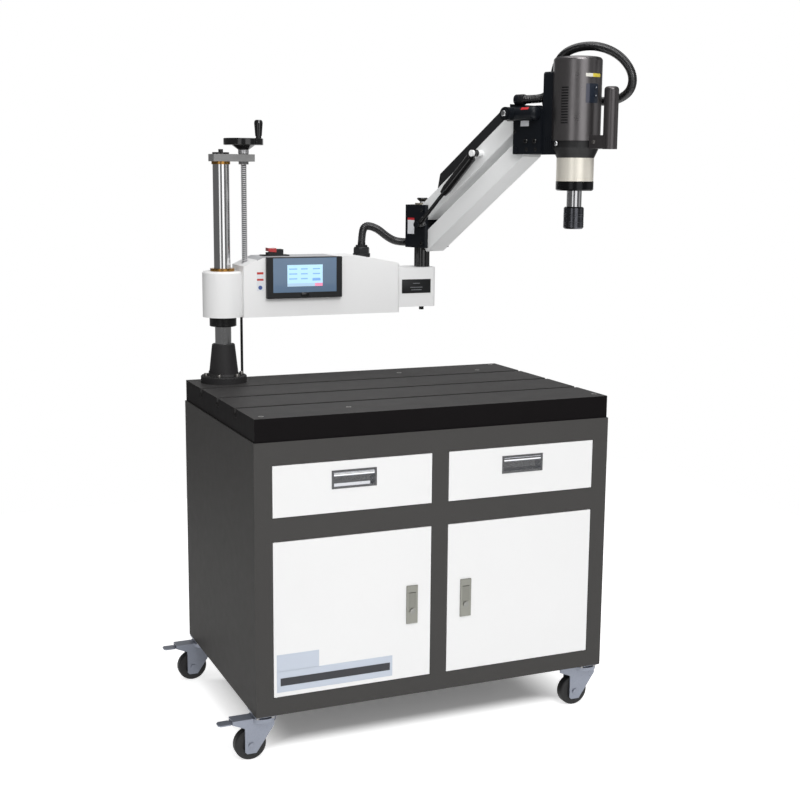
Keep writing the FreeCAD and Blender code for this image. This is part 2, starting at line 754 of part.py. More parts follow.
def door(side):
    """Pan door with its lock body and two pivot pins."""
    middle = side * OPENING_MIDDLE
    half = OPENING / 2 - PANEL_GAP
    low, high = DOOR_BOTTOM + PANEL_GAP, DOOR_TOP - PANEL_GAP
    pan = block(middle - half, middle + half, FRONT, FRONT + DOOR_THICK, low, high)
    room = block(middle - half + DOOR_SHEET, middle + half - DOOR_SHEET, FRONT + DOOR_SHEET,
                 FRONT + DOOR_THICK,
                 low + DOOR_SHEET, high - DOOR_SHEET)
    x = lock_middle(side)
    lock = block(x - LOCK_WIDTH / 2, x + LOCK_WIDTH / 2, FRONT - LOCK_PROUD,
                 FRONT + LOCK_BODY_DEPTH - LOCK_PROUD,
                 LOCK_TOP - LOCK_HEIGHT, LOCK_TOP)
    cylinder = cross_bar(LOCK_CYLINDER_RADIUS, x, LOCK_TOP - LOCK_CYLINDER_DROP,
                         FRONT - LOCK_PROUD - SHEET, FRONT)
    axis_x, axis_y = door_axis_x(side), FRONT + DOOR_PIVOT_BACK
    pins = [
        round_bar(DOOR_PIN_RADIUS, axis_x, axis_y, high, DOOR_TOP + DOOR_PIN_LENGTH),
        round_bar(DOOR_PIN_RADIUS, axis_x, axis_y, DOOR_BOTTOM - DOOR_PIN_LENGTH, low),
    ]
    body = joined(without(pan, room), lock, cylinder, *pins)
    pin_y, pin_z = paddle_axis()
    seat = side_bar(PADDLE_PIN_RADIUS + RUN_FIT, pin_y, pin_z, x - LOCK_WIDTH / 2 + SHEET,
                    x + LOCK_WIDTH / 2 - SHEET)
    return without(body, paddle_pocket(side, SEAT, PADDLE_POCKET), seat)


def paddle_axis():
    """Y and Z of the paddle's pin, along its top edge."""
    return FRONT - LOCK_PROUD + PADDLE_THICK / 2 + SHEET, LOCK_TOP - PADDLE_DROP - PADDLE_THICK


def lock_paddle(side):
    """Pull paddle of a door lock, on a pin along its top edge."""
    x = lock_middle(side)
    pin_y, pin_z = paddle_axis()
    above_pin = block(x - PADDLE_WIDTH, x + PADDLE_WIDTH, FRONT - LOCK_PROUD, FRONT, pin_z + PADDLE_LIP,
                      LOCK_TOP)
    plate = without(paddle_pocket(side, 0, PADDLE_THICK), above_pin)
    knuckle = side_bar(PADDLE_THICK, pin_y, pin_z, x - PADDLE_WIDTH / 2, x + PADDLE_WIDTH / 2)
    trim = paddle_pocket(side, 0, PADDLE_POCKET)
    reach = PADDLE_WIDTH / 2 + SHEET
    pin = side_bar(PADDLE_PIN_RADIUS, pin_y, pin_z, x - reach, x + reach)
    return joined(plate, knuckle.common(trim), pin)


# ---- casters -------------------------------------------------------------------------------------------
def caster_place(corner):
    """Swivel axis of one caster."""
    side, end = CASTERS[corner]
    return side * CASTER_X, end * CASTER_Y


def caster_plates():
    """Four fixed top plates with their ball races and king-pin bores."""
    plates = []
    for corner in CASTERS:
        x, y = caster_place(corner)
        low = CABINET_BOTTOM - CASTER_PLATE_THICK
        plate = block(x - CASTER_PLATE_LENGTH / 2, x + CASTER_PLATE_LENGTH / 2,
                      y - CASTER_PLATE_WIDTH / 2, y + CASTER_PLATE_WIDTH / 2, low, CABINET_BOTTOM)
        race = round_bar(RACE_RADIUS, x, y, low - RACE_HEIGHT, low)
        bore = round_bar(KING_PIN_RADIUS + RUN_FIT, x, y, low - RACE_HEIGHT, CABINET_BOTTOM)
        plates.append(without(joined(plate, race), bore))
    return Part.makeCompound(plates)


def caster_fork(corner):
    """Swivel fork: domed top, horn over the wheel, two raked legs, king pin and axle."""
    x, y = caster_place(corner)
    axle_x = x - CASTER_TRAIL
    half = FORK_INNER / 2 + FORK_SHEET
    low = FORK_TOP - FORK_RIM
    horn = block(axle_x - FORK_HORN, x, y - half, y + half, FORK_TOP - FORK_SHEET, FORK_TOP)
    dome = round_bar(FORK_DOME_RADIUS, x, y, low, FORK_TOP)
    dome_room = round_bar(FORK_DOME_RADIUS - FORK_SHEET, x, y, low, FORK_TOP - FORK_SHEET)
    top = joined(horn, without(dome, dome_room))
    foot = WHEEL_RADIUS - LEG_BELOW_AXLE
    outline = [
        (axle_x - LEG_HALF + 5, foot), (axle_x + LEG_HALF - 3, foot),
        (x + FORK_DOME_RADIUS * 0.75, low - 12), (x + FORK_DOME_RADIUS * 0.75, FORK_TOP - FORK_SHEET / 2),
        (axle_x - FORK_HORN, FORK_TOP - FORK_SHEET / 2), (axle_x - FORK_HORN, low),
        (axle_x - LEG_HALF, low - 12), (axle_x - LEG_HALF, foot + 5),
    ]
    legs = [
        side_plate(outline, y + FORK_INNER / 2, y + half),
        side_plate(outline, y - half, y - FORK_INNER / 2),
    ]
    pin = round_bar(KING_PIN_RADIUS, x, y, FORK_TOP - FORK_SHEET, CABINET_BOTTOM - SEAT)
    axle = cross_bar(AXLE_RADIUS, axle_x, WHEEL_RADIUS, y - half, y + half)
    heads = [
        cross_bar(AXLE_HEAD_RADIUS, axle_x, WHEEL_RADIUS, y - half - AXLE_HEAD, y - half),
        cross_bar(AXLE_HEAD_RADIUS, axle_x, WHEEL_RADIUS, y + half, y + half + AXLE_HEAD),
    ]
    fork = joined(top, *legs, pin, axle, *heads)
    if corner.endswith("left"):
        pin_x, pin_z = lever_axis(corner)
        fork = joined(fork, cross_bar(LEVER_PIN_RADIUS, pin_x, pin_z, y - half, y + half))
    return fork


def caster_wheel(corner):
    """Wheel with a rounded tread and recessed hub faces."""
    x, y = caster_place(corner)
    axle_x = x - CASTER_TRAIL
    half = WHEEL_WIDTH / 2
    wheel = cross_bar(WHEEL_RADIUS, axle_x, WHEEL_RADIUS, y - half, y + half)
    rims = [edge for edge in wheel.Edges if isinstance(edge.Curve, Part.Circle)]
    wheel = wheel.makeFillet(TYRE_ROUND, rims)
    recesses = [
        cross_bar(WHEEL_HUB_RADIUS, axle_x, WHEEL_RADIUS, y - half, y - half + WHEEL_HUB_RECESS),
        cross_bar(WHEEL_HUB_RADIUS, axle_x, WHEEL_RADIUS, y + half - WHEEL_HUB_RECESS, y + half),
    ]
    boss = cross_bar(2 * AXLE_RADIUS, axle_x, WHEEL_RADIUS, y - half - 1, y + half + 1)
    bore = cross_bar(AXLE_RADIUS + RUN_FIT, axle_x, WHEEL_RADIUS, y - half - 1, y + half + 1)
    return without(joined(without(wheel, *recesses), boss), bore)


def lever_axis(corner):
    """X and Z of the brake lever's pin, at the horn of the fork."""
    x, _ = caster_place(corner)
    under_horn = FORK_TOP - FORK_SHEET
    return x - CASTER_TRAIL - FORK_HORN + LEVER_KNUCKLE, under_horn - LEVER_KNUCKLE - SEAT


def brake_lever(corner):
    """Foot lever: pad, neck and the knuckle on its pin."""
    _, y = caster_place(corner)
    pin_x, pin_z = lever_axis(corner)
    tip = caster_place(corner)[0] - CASTER_TRAIL - LEVER_LENGTH
    pad_end = tip + LEVER_PAD_LENGTH
    neck, pad = LEVER_NECK_WIDTH / 2, LEVER_PAD_WIDTH / 2
    outline = [
        (pin_x, y - neck), (pad_end, y - neck), (pad_end - 6, y - pad), (tip + 5, y - pad),
        (tip, y - pad + 6),
        (tip, y + pad - 6), (tip + 5, y + pad), (pad_end - 6, y + pad), (pad_end, y + neck),
        (pin_x, y + neck),
    ]
    plate = flat_plate(outline, pin_z - LEVER_THICK / 2, pin_z + LEVER_THICK / 2)
    knuckle = cross_bar(LEVER_KNUCKLE, pin_x, pin_z, y - neck, y + neck)
    bore = cross_bar(LEVER_PIN_RADIUS + RUN_FIT, pin_x, pin_z, y - neck, y + neck)
    return without(joined(plate, knuckle), bore)


# ---- column, turret, screw -----------------------------------------------------------------------------
def base_flange():
    """Bolted flange with the tapered neck that grips the column."""
    bore = TUBE_RADIUS + RUN_FIT
    top = TABLE_TOP + FLANGE_THICK
    profile = [
        (bore, TABLE_TOP), (FLANGE_RADIUS, TABLE_TOP), (FLANGE_RADIUS, top - 2), (FLANGE_RADIUS - 2, top),
        (NECK_FOOT_RADIUS + 4, top), (NECK_FOOT_RADIUS, top + 5.5),
        (NECK_TOP_RADIUS, TABLE_TOP + NECK_HEIGHT - 2),
        (NECK_TOP_RADIUS - 2, TABLE_TOP + NECK_HEIGHT), (bore, TABLE_TOP + NECK_HEIGHT),
    ]
    flange = turned(profile, COLUMN_X, COLUMN_Y)
    holes = [round_bar(FLANGE_BOLT_RADIUS, x, y, TABLE_TOP, top) for x, y in flange_bolt_places()]
    return without(flange, *holes)


def column_tube():
    """Ground tube with a plugged top that takes the cap screw."""
    top = BRACKET_TOP - BRACKET_ROOF - SEAT
    tube = round_bar(TUBE_RADIUS, COLUMN_X, COLUMN_Y, TABLE_TOP, top)
    inside = round_bar(TUBE_RADIUS - TUBE_WALL, COLUMN_X, COLUMN_Y, TABLE_TOP, top - TUBE_PLUG)
    thread = round_bar(CAP_SHANK_RADIUS + RUN_FIT, COLUMN_X, COLUMN_Y, top - TUBE_PLUG, top)
    return without(tube, inside, thread)


def top_bracket():
    """Bracket that turns on the column and carries the lifting screw."""
    plate = block(COLUMN_X - BRACKET_BEHIND_COLUMN, SCREW_X + BRACKET_PAST_SCREW,
                  COLUMN_Y - BRACKET_HALF_DEPTH, COLUMN_Y + BRACKET_HALF_DEPTH, BRACKET_BOTTOM, BRACKET_TOP)
    boss = round_bar(SCREW_BOSS_RADIUS, SCREW_X, COLUMN_Y, BRACKET_BOTTOM - SCREW_BOSS_DROP, BRACKET_BOTTOM)
    cuts = [
        round_bar(TOP_BUSH_RADIUS + RUN_FIT, COLUMN_X, COLUMN_Y, BRACKET_BOTTOM,
                  BRACKET_TOP - BRACKET_ROOF),
        round_bar(CAP_SHANK_RADIUS + RUN_FIT, COLUMN_X, COLUMN_Y, BRACKET_BOTTOM, BRACKET_TOP),
        round_bar(SCREW_RADIUS + RUN_FIT, SCREW_X, COLUMN_Y, BRACKET_BOTTOM - SCREW_BOSS_DROP, BRACKET_TOP),
    ]
    return without(joined(plate, boss), *cuts)


def top_bush():
    """Bronze bush between the bracket and the column."""
    low, high = BRACKET_BOTTOM - TOP_BUSH_DROP, BRACKET_TOP - BRACKET_ROOF
    bush = round_bar(TOP_BUSH_RADIUS, COLUMN_X, COLUMN_Y, low, high)
    return without(bush, round_bar(TUBE_RADIUS + RUN_FIT, COLUMN_X, COLUMN_Y, low, high))


def column_cap():
    """Washer and screw that keep the bracket on the column."""
    washer = round_bar(CAP_RADIUS, COLUMN_X, COLUMN_Y, BRACKET_TOP, BRACKET_TOP + CAP_THICK)
    head = round_bar(CAP_HEAD_RADIUS, COLUMN_X, COLUMN_Y, BRACKET_TOP + CAP_THICK,
                     BRACKET_TOP + CAP_THICK + CAP_HEAD)
    shank = round_bar(CAP_SHANK_RADIUS, COLUMN_X, COLUMN_Y, BRACKET_TOP - BRACKET_ROOF - TUBE_PLUG,
                      BRACKET_TOP)
    return joined(washer, head, shank)


def lead_screw():
    """Lifting screw with the collar that hangs it on the bracket."""
    rod = round_bar(SCREW_RADIUS, SCREW_X, COLUMN_Y, SCREW_BOTTOM, HANDWHEEL_BOTTOM + HANDWHEEL_RIM / 2)
    collar = round_bar(SCREW_COLLAR_RADIUS, SCREW_X, COLUMN_Y, BRACKET_TOP + SEAT, COLLAR_TOP)
    return joined(rod, collar)


def handwheel():
    """Dished handwheel on a cone, with the crank pin."""
    bore = SCREW_RADIUS + RUN_FIT
    profile = [
        (bore, COLLAR_TOP), (SCREW_COLLAR_RADIUS, COLLAR_TOP), (WHEEL_CONE_TOP_RADIUS, HANDWHEEL_BOTTOM),
        (HANDWHEEL_RADIUS - HANDWHEEL_EDGE, HANDWHEEL_BOTTOM),
        (HANDWHEEL_RADIUS, HANDWHEEL_BOTTOM + HANDWHEEL_EDGE),
        (HANDWHEEL_RADIUS, HANDWHEEL_TOP - HANDWHEEL_EDGE),
        (HANDWHEEL_RADIUS - HANDWHEEL_EDGE, HANDWHEEL_TOP),
        (HANDWHEEL_RADIUS - 16, HANDWHEEL_TOP), (HANDWHEEL_RADIUS - 19, HANDWHEEL_TOP - HANDWHEEL_DISH),
        (SCREW_COLLAR_RADIUS, HANDWHEEL_TOP - HANDWHEEL_DISH), (SCREW_COLLAR_RADIUS, HANDWHEEL_TOP),
        (bore, HANDWHEEL_TOP),
    ]
    wheel = turned(profile, SCREW_X, COLUMN_Y)
    pin = round_bar(CRANK_PIN_RADIUS, SCREW_X + CRANK_OFFSET, COLUMN_Y, HANDWHEEL_TOP - HANDWHEEL_DISH,
                    HANDWHEEL_TOP + CRANK_GRIP_LENGTH - 6)
    return joined(wheel, pin)


def crank_grip():
    """Turned grip that spins on the crank pin."""
    x = SCREW_X + CRANK_OFFSET
    low = HANDWHEEL_TOP + SEAT
    high = low + CRANK_GRIP_LENGTH
    profile = [
        (0, low), (CRANK_GRIP_FOOT_RADIUS, low), (CRANK_GRIP_FOOT_RADIUS, low + CRANK_GRIP_FOOT),
        (CRANK_GRIP_WAIST_RADIUS, low + CRANK_GRIP_FOOT),
        (CRANK_GRIP_RADIUS, high - 8), (CRANK_GRIP_RADIUS - 1, high - 2.5), (CRANK_GRIP_RADIUS - 4, high),
        (0, high),
    ]
    room = round_bar(CRANK_PIN_RADIUS + RUN_FIT, x, COLUMN_Y, low, high - 5)
    return without(turned(profile, x, COLUMN_Y), room)


# ---- carriage ------------------------------------------------------------------------------------------
def box_outline(drop):
    """Side view of the control box, its top lowered by drop."""
    return [
        (BOX_LEFT, BOX_BOTTOM), (BOX_RIGHT, BOX_BOTTOM),
        (BOX_RIGHT, BOX_BOTTOM + BOX_RIGHT_HEIGHT - 8 - drop),
        (BOX_NOSE_X, BOX_BOTTOM + BOX_RIGHT_HEIGHT - drop), (BOX_BEND_X, BOX_TOP - drop),
        (BOX_SHOULDER_X, BOX_TOP - drop), (BOX_LEFT, BOX_BOTTOM + BOX_LEFT_HEIGHT - drop),
    ]


def box_limits(left, right, margin):
    """Upright block as deep as the box less a margin, to trim to."""
    return block(left, right, BOX_FRONT + margin, BOX_BACK - margin, BOX_BOTTOM, BOX_TOP + 1)


def carriage_housing():
    """Casting: sleeve on the column, hollow control box and the elbow's end block."""
    sleeve = round_bar(SLEEVE_RADIUS, COLUMN_X, COLUMN_Y, BOX_BOTTOM, SLEEVE_TOP)
    sleeve = sleeve.makeChamfer(SLEEVE_CHAMFER, circle_edges(sleeve, SLEEVE_TOP, SLEEVE_RADIUS))
    box = side_plate(box_outline(0), BOX_FRONT, BOX_BACK)
    box = box.makeFillet(BOX_CORNER, upright_edges(box, lambda x, y: x > BOX_RIGHT - 1))
    neck = block(COLUMN_X, BOX_LEFT, COLUMN_Y - END_HALF_DEPTH + 6, COLUMN_Y + END_HALF_DEPTH - 6,
                 BOX_BOTTOM + 4, SLEEVE_TOP - SLEEVE_CHAMFER)
    mouth = side_plate(box_outline(-1), BOX_FRONT + BOX_WALL, BOX_BACK - BOX_WALL)
    mouth = mouth.common(block(COVER_LEFT + WELL_WALL, COVER_RIGHT - WELL_WALL, BOX_FRONT, BOX_BACK,
                               BOX_BOTTOM + BOX_WALL, BOX_TOP + 1))
    room = side_plate(box_outline(BOX_ROOF), BOX_FRONT + BOX_WALL, BOX_BACK - BOX_WALL)
    room = room.common(block(COVER_LEFT + WELL_WALL, BOX_RIGHT - BOX_WALL - 4, BOX_FRONT, BOX_BACK,
                             BOX_BOTTOM + BOX_WALL, BOX_TOP))
    end = block(END_LEFT, END_RIGHT, COLUMN_Y - END_HALF_DEPTH, COLUMN_Y + END_HALF_DEPTH, END_BOTTOM,
                END_TOP)
    end = end.makeFillet(END_ROUND, upright_edges(end, lambda x, y: x > END_RIGHT - 1))
    body = joined(sleeve, neck, without(box, lid_sheet(), mouth, room), end)
    cuts = [
        round_bar(SLEEVE_BUSH_RADIUS + RUN_FIT, COLUMN_X, COLUMN_Y, BOX_BOTTOM, SLEEVE_TOP),
        round_bar(WELL_RADIUS - WELL_WALL + 1.5, SCREW_X, COLUMN_Y, BOX_BOTTOM, BOX_TOP),
        round_bar(NUT_RADIUS + RUN_FIT, SCREW_X, COLUMN_Y, BOX_BOTTOM, NUT_TOP),
        round_bar(HOSE_GLAND_BASE_RADIUS - 6, HOSE_GLAND_X, COLUMN_Y, BOX_TOP - 4 * BOX_ROOF, BOX_TOP),
        round_bar(ELBOW_SHAFT_RADIUS + RUN_FIT, ELBOW_X, COLUMN_Y, END_BOTTOM, END_TOP),
        cross_bar(LEAD_GLAND_RADIUS - 3 + RUN_FIT, LEAD_GLAND_X, LEAD_GLAND_Z, BOX_BACK - BOX_WALL - 2,
                  BOX_BACK),
    ]
    return without(body, *cuts)


def lid_sheet():
    """Bent sheet over the mouth of the control box, before its hole is cut."""
    sheet = side_plate(box_outline(0), BOX_FRONT, BOX_BACK)
    sheet = without(sheet, side_plate(box_outline(COVER_THICK), BOX_FRONT, BOX_BACK))
    return sheet.common(box_limits(COVER_LEFT, COVER_RIGHT, 0))


def control_box_cover():
    """Bent sheet lid of the control box."""
    return without(lid_sheet(), switch_hole(RUN_FIT))


def switch_hole(slack):
    """Body of the power switch below its plate, or the hole for it."""
    middle = SWITCH_LEFT + SWITCH_LENGTH / 2
    half_x, half_y = SWITCH_HOOD_LENGTH / 2 + slack, SWITCH_HOOD_WIDTH / 2 + slack
    return block(middle - half_x, middle + half_x, COLUMN_Y - half_y, COLUMN_Y + half_y, BOX_TOP - 20,
                 BOX_TOP)


def sleeve_bush():
    """Flanged bronze bush of the carriage."""
    bush = round_bar(SLEEVE_BUSH_RADIUS, COLUMN_X, COLUMN_Y, BOX_BOTTOM, SLEEVE_TOP)
    top = SLEEVE_TOP + SLEEVE_BUSH_FLANGE_THICK
    flange = round_bar(SLEEVE_BUSH_FLANGE, COLUMN_X, COLUMN_Y, SLEEVE_TOP, top)
    return without(joined(bush, flange), round_bar(TUBE_RADIUS + RUN_FIT, COLUMN_X, COLUMN_Y, BOX_BOTTOM,
                                                   top))


def seal_ring():
    """Clamp ring under the carriage."""
    low = BOX_BOTTOM - RING_BELOW
    ring = round_bar(RING_RADIUS, COLUMN_X, COLUMN_Y, low, BOX_BOTTOM - SEAT)
    ring = ring.makeChamfer(1.5, circle_edges(ring, low, RING_RADIUS))
    return without(ring, round_bar(TUBE_RADIUS + RUN_FIT, COLUMN_X, COLUMN_Y, low, BOX_BOTTOM))


def lead_nut():
    """Nut in the carriage that climbs the lifting screw."""
    nut = round_bar(NUT_RADIUS, SCREW_X, COLUMN_Y, NUT_TOP - NUT_HEIGHT, NUT_TOP)
    return without(nut, round_bar(SCREW_RADIUS + RUN_FIT, SCREW_X, COLUMN_Y, NUT_TOP - NUT_HEIGHT, NUT_TOP))


def screen_frame():
    """Moulded surround of the screen."""
    right, top = SCREEN_LEFT + SCREEN_WIDTH, SCREEN_BOTTOM + SCREEN_HEIGHT
    front = BOX_FRONT - SCREEN_PROUD
    frame = block(SCREEN_LEFT, right, front, BOX_FRONT, SCREEN_BOTTOM, top)
    edges = [edge for edge in frame.Edges if edge.BoundBox.YLength > 1]
    frame = frame.makeFillet(SCREEN_CORNER, edges)
    rim = [edge for edge in frame.Edges if edge.BoundBox.YMax < front + 0.01]
    frame = frame.makeChamfer(SCREEN_BEVEL, rim)
    return without(frame, glass_block(RUN_FIT))


def glass_block(slack):
    """Window block of the screen, grown by a slack."""
    left, right = SCREEN_LEFT + GLASS_MARGIN_SIDE, SCREEN_LEFT + SCREEN_WIDTH - GLASS_MARGIN_SIDE
    low, high = SCREEN_BOTTOM + GLASS_MARGIN_BOTTOM, SCREEN_BOTTOM + SCREEN_HEIGHT - GLASS_MARGIN_TOP
    front = BOX_FRONT - SCREEN_PROUD
    return block(left - slack, right + slack, front, front + GLASS_DEPTH + slack, low - slack, high + slack)


def screen_glass():
    """Window over the display."""
    return glass_block(0)


def switch_places():
    """Middle of the switch's hood and of its rocker along X."""
    middle = SWITCH_LEFT + SWITCH_LENGTH / 2
    return middle, middle - SWITCH_HOOD_LENGTH / 2 + ROCKER_LENGTH / 2


def rocker_pin_z():
    """Height of the rocker's pin."""
    return BOX_TOP + SWITCH_PLATE + SWITCH_HOOD - ROCKER_PIN_DROP


def box_glands():
    """Switch body, hose gland and mains gland on the control box."""
    middle, rocker_x = switch_places()
    plate = block(SWITCH_LEFT, SWITCH_LEFT + SWITCH_LENGTH, COLUMN_Y - SWITCH_WIDTH / 2,
                  COLUMN_Y + SWITCH_WIDTH / 2,
                  BOX_TOP, BOX_TOP + SWITCH_PLATE)
    hood = block(middle - SWITCH_HOOD_LENGTH / 2, middle + SWITCH_HOOD_LENGTH / 2,
                 COLUMN_Y - SWITCH_HOOD_WIDTH / 2,
                 COLUMN_Y + SWITCH_HOOD_WIDTH / 2, BOX_TOP + SWITCH_PLATE,
                 BOX_TOP + SWITCH_PLATE + SWITCH_HOOD)
    switch = joined(plate, hood, switch_hole(0))
    top = BOX_TOP + SWITCH_PLATE + SWITCH_HOOD
    step = block(rocker_x - ROCKER_LENGTH, rocker_x + ROCKER_LENGTH / 2 + SEAT,
                 COLUMN_Y - SWITCH_WIDTH / 2, COLUMN_Y + SWITCH_WIDTH / 2, top - ROCKER_STEP, top)
    well_half = ROCKER_TAB_HALF_LENGTH + 2
    well = block(rocker_x - well_half, rocker_x + well_half, COLUMN_Y - ROCKER_TAB_WIDTH / 2 - SEAT,
                 COLUMN_Y + ROCKER_TAB_WIDTH / 2 + SEAT, top - ROCKER_WELL, top)
    reach = ROCKER_TAB_WIDTH / 2 + 3
    pin_hole = cross_bar(ROCKER_PIN_RADIUS + RUN_FIT, rocker_x, rocker_pin_z(), COLUMN_Y - reach,
                         COLUMN_Y + reach)
    switch = without(switch, step, well, pin_hole)
    base = round_bar(HOSE_GLAND_BASE_RADIUS, HOSE_GLAND_X, COLUMN_Y, BOX_TOP - COVER_THICK - 4,
                     HOSE_GLAND_HEX_BOTTOM)
    slope = side_plate(box_outline(0), BOX_FRONT, BOX_BACK)
    base = without(base, slope)
    tail = round_bar(HOSE_GLAND_BASE_RADIUS - 6 - RUN_FIT, HOSE_GLAND_X, COLUMN_Y,
                     BOX_TOP - COVER_THICK - 10,
                     HOSE_GLAND_HEX_BOTTOM)
    corners = [math.radians(60 * i) for i in range(6)]
    across = HOSE_GLAND_HEX / math.sqrt(3)
    hexagon = [(HOSE_GLAND_X + across * math.cos(a), COLUMN_Y + across * math.sin(a)) for a in corners]
    nut = flat_plate(hexagon, HOSE_GLAND_HEX_BOTTOM, HOSE_GLAND_HEX_TOP)
    turning = [(0, HOSE_GLAND_HEX_BOTTOM), (across, HOSE_GLAND_HEX_BOTTOM), (across, HOSE_GLAND_HEX_TOP - 5),
               (HOSE_GLAND_HEX / 2 - 1, HOSE_GLAND_HEX_TOP), (0, HOSE_GLAND_HEX_TOP)]
    nut = nut.common(turned(turning, HOSE_GLAND_X, COLUMN_Y))
    neck = round_bar(HOSE_GLAND_NECK_RADIUS, HOSE_GLAND_X, COLUMN_Y, HOSE_GLAND_HEX_TOP, HOSE_GLAND_TOP)
    gland = joined(base, tail, nut, neck)
    body = cross_bar(LEAD_GLAND_RADIUS, LEAD_GLAND_X, LEAD_GLAND_Z, BOX_BACK, BOX_BACK + LEAD_GLAND_LENGTH)
    root = cross_bar(LEAD_GLAND_RADIUS - 3, LEAD_GLAND_X, LEAD_GLAND_Z, BOX_BACK - BOX_WALL, BOX_BACK)
    return Part.makeCompound([switch, gland, joined(body, root)])


def switch_rocker():
    """Red rocker of the power switch, rounded above its pin."""
    _, x = switch_places()
    top = BOX_TOP + SWITCH_PLATE + SWITCH_HOOD
    half = ROCKER_LENGTH / 2
    outline = [(x - half, top + ROCKER_PROUD), (x, top + ROCKER_PROUD - 1.5),
               (x + half, top + ROCKER_PROUD - 0.5), (x + half, top - ROCKER_STEP + SEAT),
               (x - half, top - ROCKER_SKIRT)]
    cap = side_plate(outline, COLUMN_Y - SWITCH_HOOD_WIDTH / 2, COLUMN_Y + SWITCH_HOOD_WIDTH / 2)
    tab = block(x - ROCKER_TAB_HALF_LENGTH, x + ROCKER_TAB_HALF_LENGTH, COLUMN_Y - ROCKER_TAB_WIDTH / 2,
                COLUMN_Y + ROCKER_TAB_WIDTH / 2, rocker_pin_z() - 4, top - ROCKER_SKIRT)
    reach = ROCKER_TAB_WIDTH / 2 + 3
    return joined(cap, tab,
                  cross_bar(ROCKER_PIN_RADIUS, x, rocker_pin_z(), COLUMN_Y - reach, COLUMN_Y + reach))


def elbow_shaft():
    """Shaft that the elbow bracket turns on, with its nut under the block."""
    shaft = round_bar(ELBOW_SHAFT_RADIUS, ELBOW_X, COLUMN_Y, END_BOTTOM, ELBOW_SHAFT_TOP)
    nut = round_bar(ELBOW_NUT_RADIUS, ELBOW_X, COLUMN_Y, END_BOTTOM - ELBOW_NUT_DROP, END_BOTTOM)
    thread = round_bar(ELBOW_STEM_RADIUS - 2 + RUN_FIT, ELBOW_X, COLUMN_Y,
                       ELBOW_SHAFT_TOP - ELBOW_THREAD, ELBOW_SHAFT_TOP)
    return without(joined(shaft, nut), thread)


# ---- elbow, in the arm's frame -------------------------------------------------------------------------
def elbow_bracket():
    """Swinging bracket: bored block, two cheeks, the link pins and the spring's foot pin."""
    inner = CHEEK_OUTER - CHEEK_THICK
    radius = ELBOW_SHAFT_RADIUS + RUN_FIT + ELBOW_WALL
    core = block(-ELBOW_BACK, radius, -CHEEK_OUTER, CHEEK_OUTER, ELBOW_BOTTOM, ELBOW_TOP)
    back = round_bar(radius + ELBOW_BACK_WALL, 0, 0, ELBOW_BOTTOM, ELBOW_TOP)
    back = back.common(block(-CHEEK_OUTER, 0, -CHEEK_OUTER, CHEEK_OUTER, ELBOW_BOTTOM, ELBOW_TOP))
    cheeks = [
        block(-ELBOW_BACK, ELBOW_FRONT, inner, CHEEK_OUTER, ELBOW_BOTTOM, ELBOW_TOP),
        block(-ELBOW_BACK, ELBOW_FRONT, -CHEEK_OUTER, -inner, ELBOW_BOTTOM, ELBOW_TOP),
    ]
    body = joined(core, back, *cheeks)
    bore_top = ELBOW_TOP - ELBOW_CAP_ROOM + SEAT
    body = without(body, round_bar(ELBOW_SHAFT_RADIUS + RUN_FIT, 0, 0, ELBOW_BOTTOM, bore_top),
                   round_bar(ELBOW_STEM_RADIUS + RUN_FIT, 0, 0, ELBOW_BOTTOM, ELBOW_TOP))
    pins = []
    for z in (LOWER_PIVOT_Z, UPPER_PIVOT_Z):
        pins.append(cross_bar(PIN_RADIUS, PIVOT_X, z, -CHEEK_OUTER, CHEEK_OUTER))
        pins.append(cross_bar(PIN_HEAD_RADIUS, PIVOT_X, z, -CHEEK_OUTER - PIN_HEAD, -CHEEK_OUTER))
        pins.append(cross_bar(PIN_HEAD_RADIUS, PIVOT_X, z, CHEEK_OUTER, CHEEK_OUTER + PIN_HEAD))
    far = SPRING_OUT + SPRING_EYE_WIDTH / 2 + SEAT
    pins.append(cross_bar(SPRING_PIN_RADIUS, SPRING_FOOT_X, SPRING_FOOT_Z, -far - SPRING_PIN_HEAD, -inner))
    pins.append(cross_bar(SPRING_PIN_HEAD_RADIUS, SPRING_FOOT_X, SPRING_FOOT_Z, -far - SPRING_PIN_HEAD,
                          -far))
    hose_x, hose_y, hose_z = HOSE_BOX_ROUTE[-1]
    socket = side_bar(HOSE_RADIUS + HOSE_SOCKET_WALL, hose_y, hose_z, hose_x, HOSE_SOCKET_END_X)
    return joined(in_arm(joined(body, *pins)), socket)


def elbow_knob():
    """Locking knob on the elbow shaft, with its washer."""
    washer = round_bar(ELBOW_WASHER_RADIUS, 0, 0, ELBOW_TOP, ELBOW_TOP + ELBOW_WASHER)
    stem = round_bar(ELBOW_STEM_RADIUS, 0, 0, ELBOW_TOP - ELBOW_CAP_ROOM + SEAT, ELBOW_KNOB_BOTTOM)
    root = round_bar(ELBOW_STEM_RADIUS - 2, 0, 0, ELBOW_SHAFT_TOP - 25, ELBOW_KNOB_BOTTOM)
    top = ELBOW_KNOB_BOTTOM + ELBOW_KNOB
    profile = [
        (0, ELBOW_KNOB_BOTTOM), (ELBOW_STEM_RADIUS + 1, ELBOW_KNOB_BOTTOM),
        (ELBOW_KNOB_RADIUS, ELBOW_KNOB_BOTTOM + ELBOW_KNOB_CONE),
        (ELBOW_KNOB_RADIUS, top - 2), (ELBOW_KNOB_RADIUS - 2.5, top), (0, top),
    ]
    return in_arm(joined(washer, stem, root, turned(profile, 0, 0)))


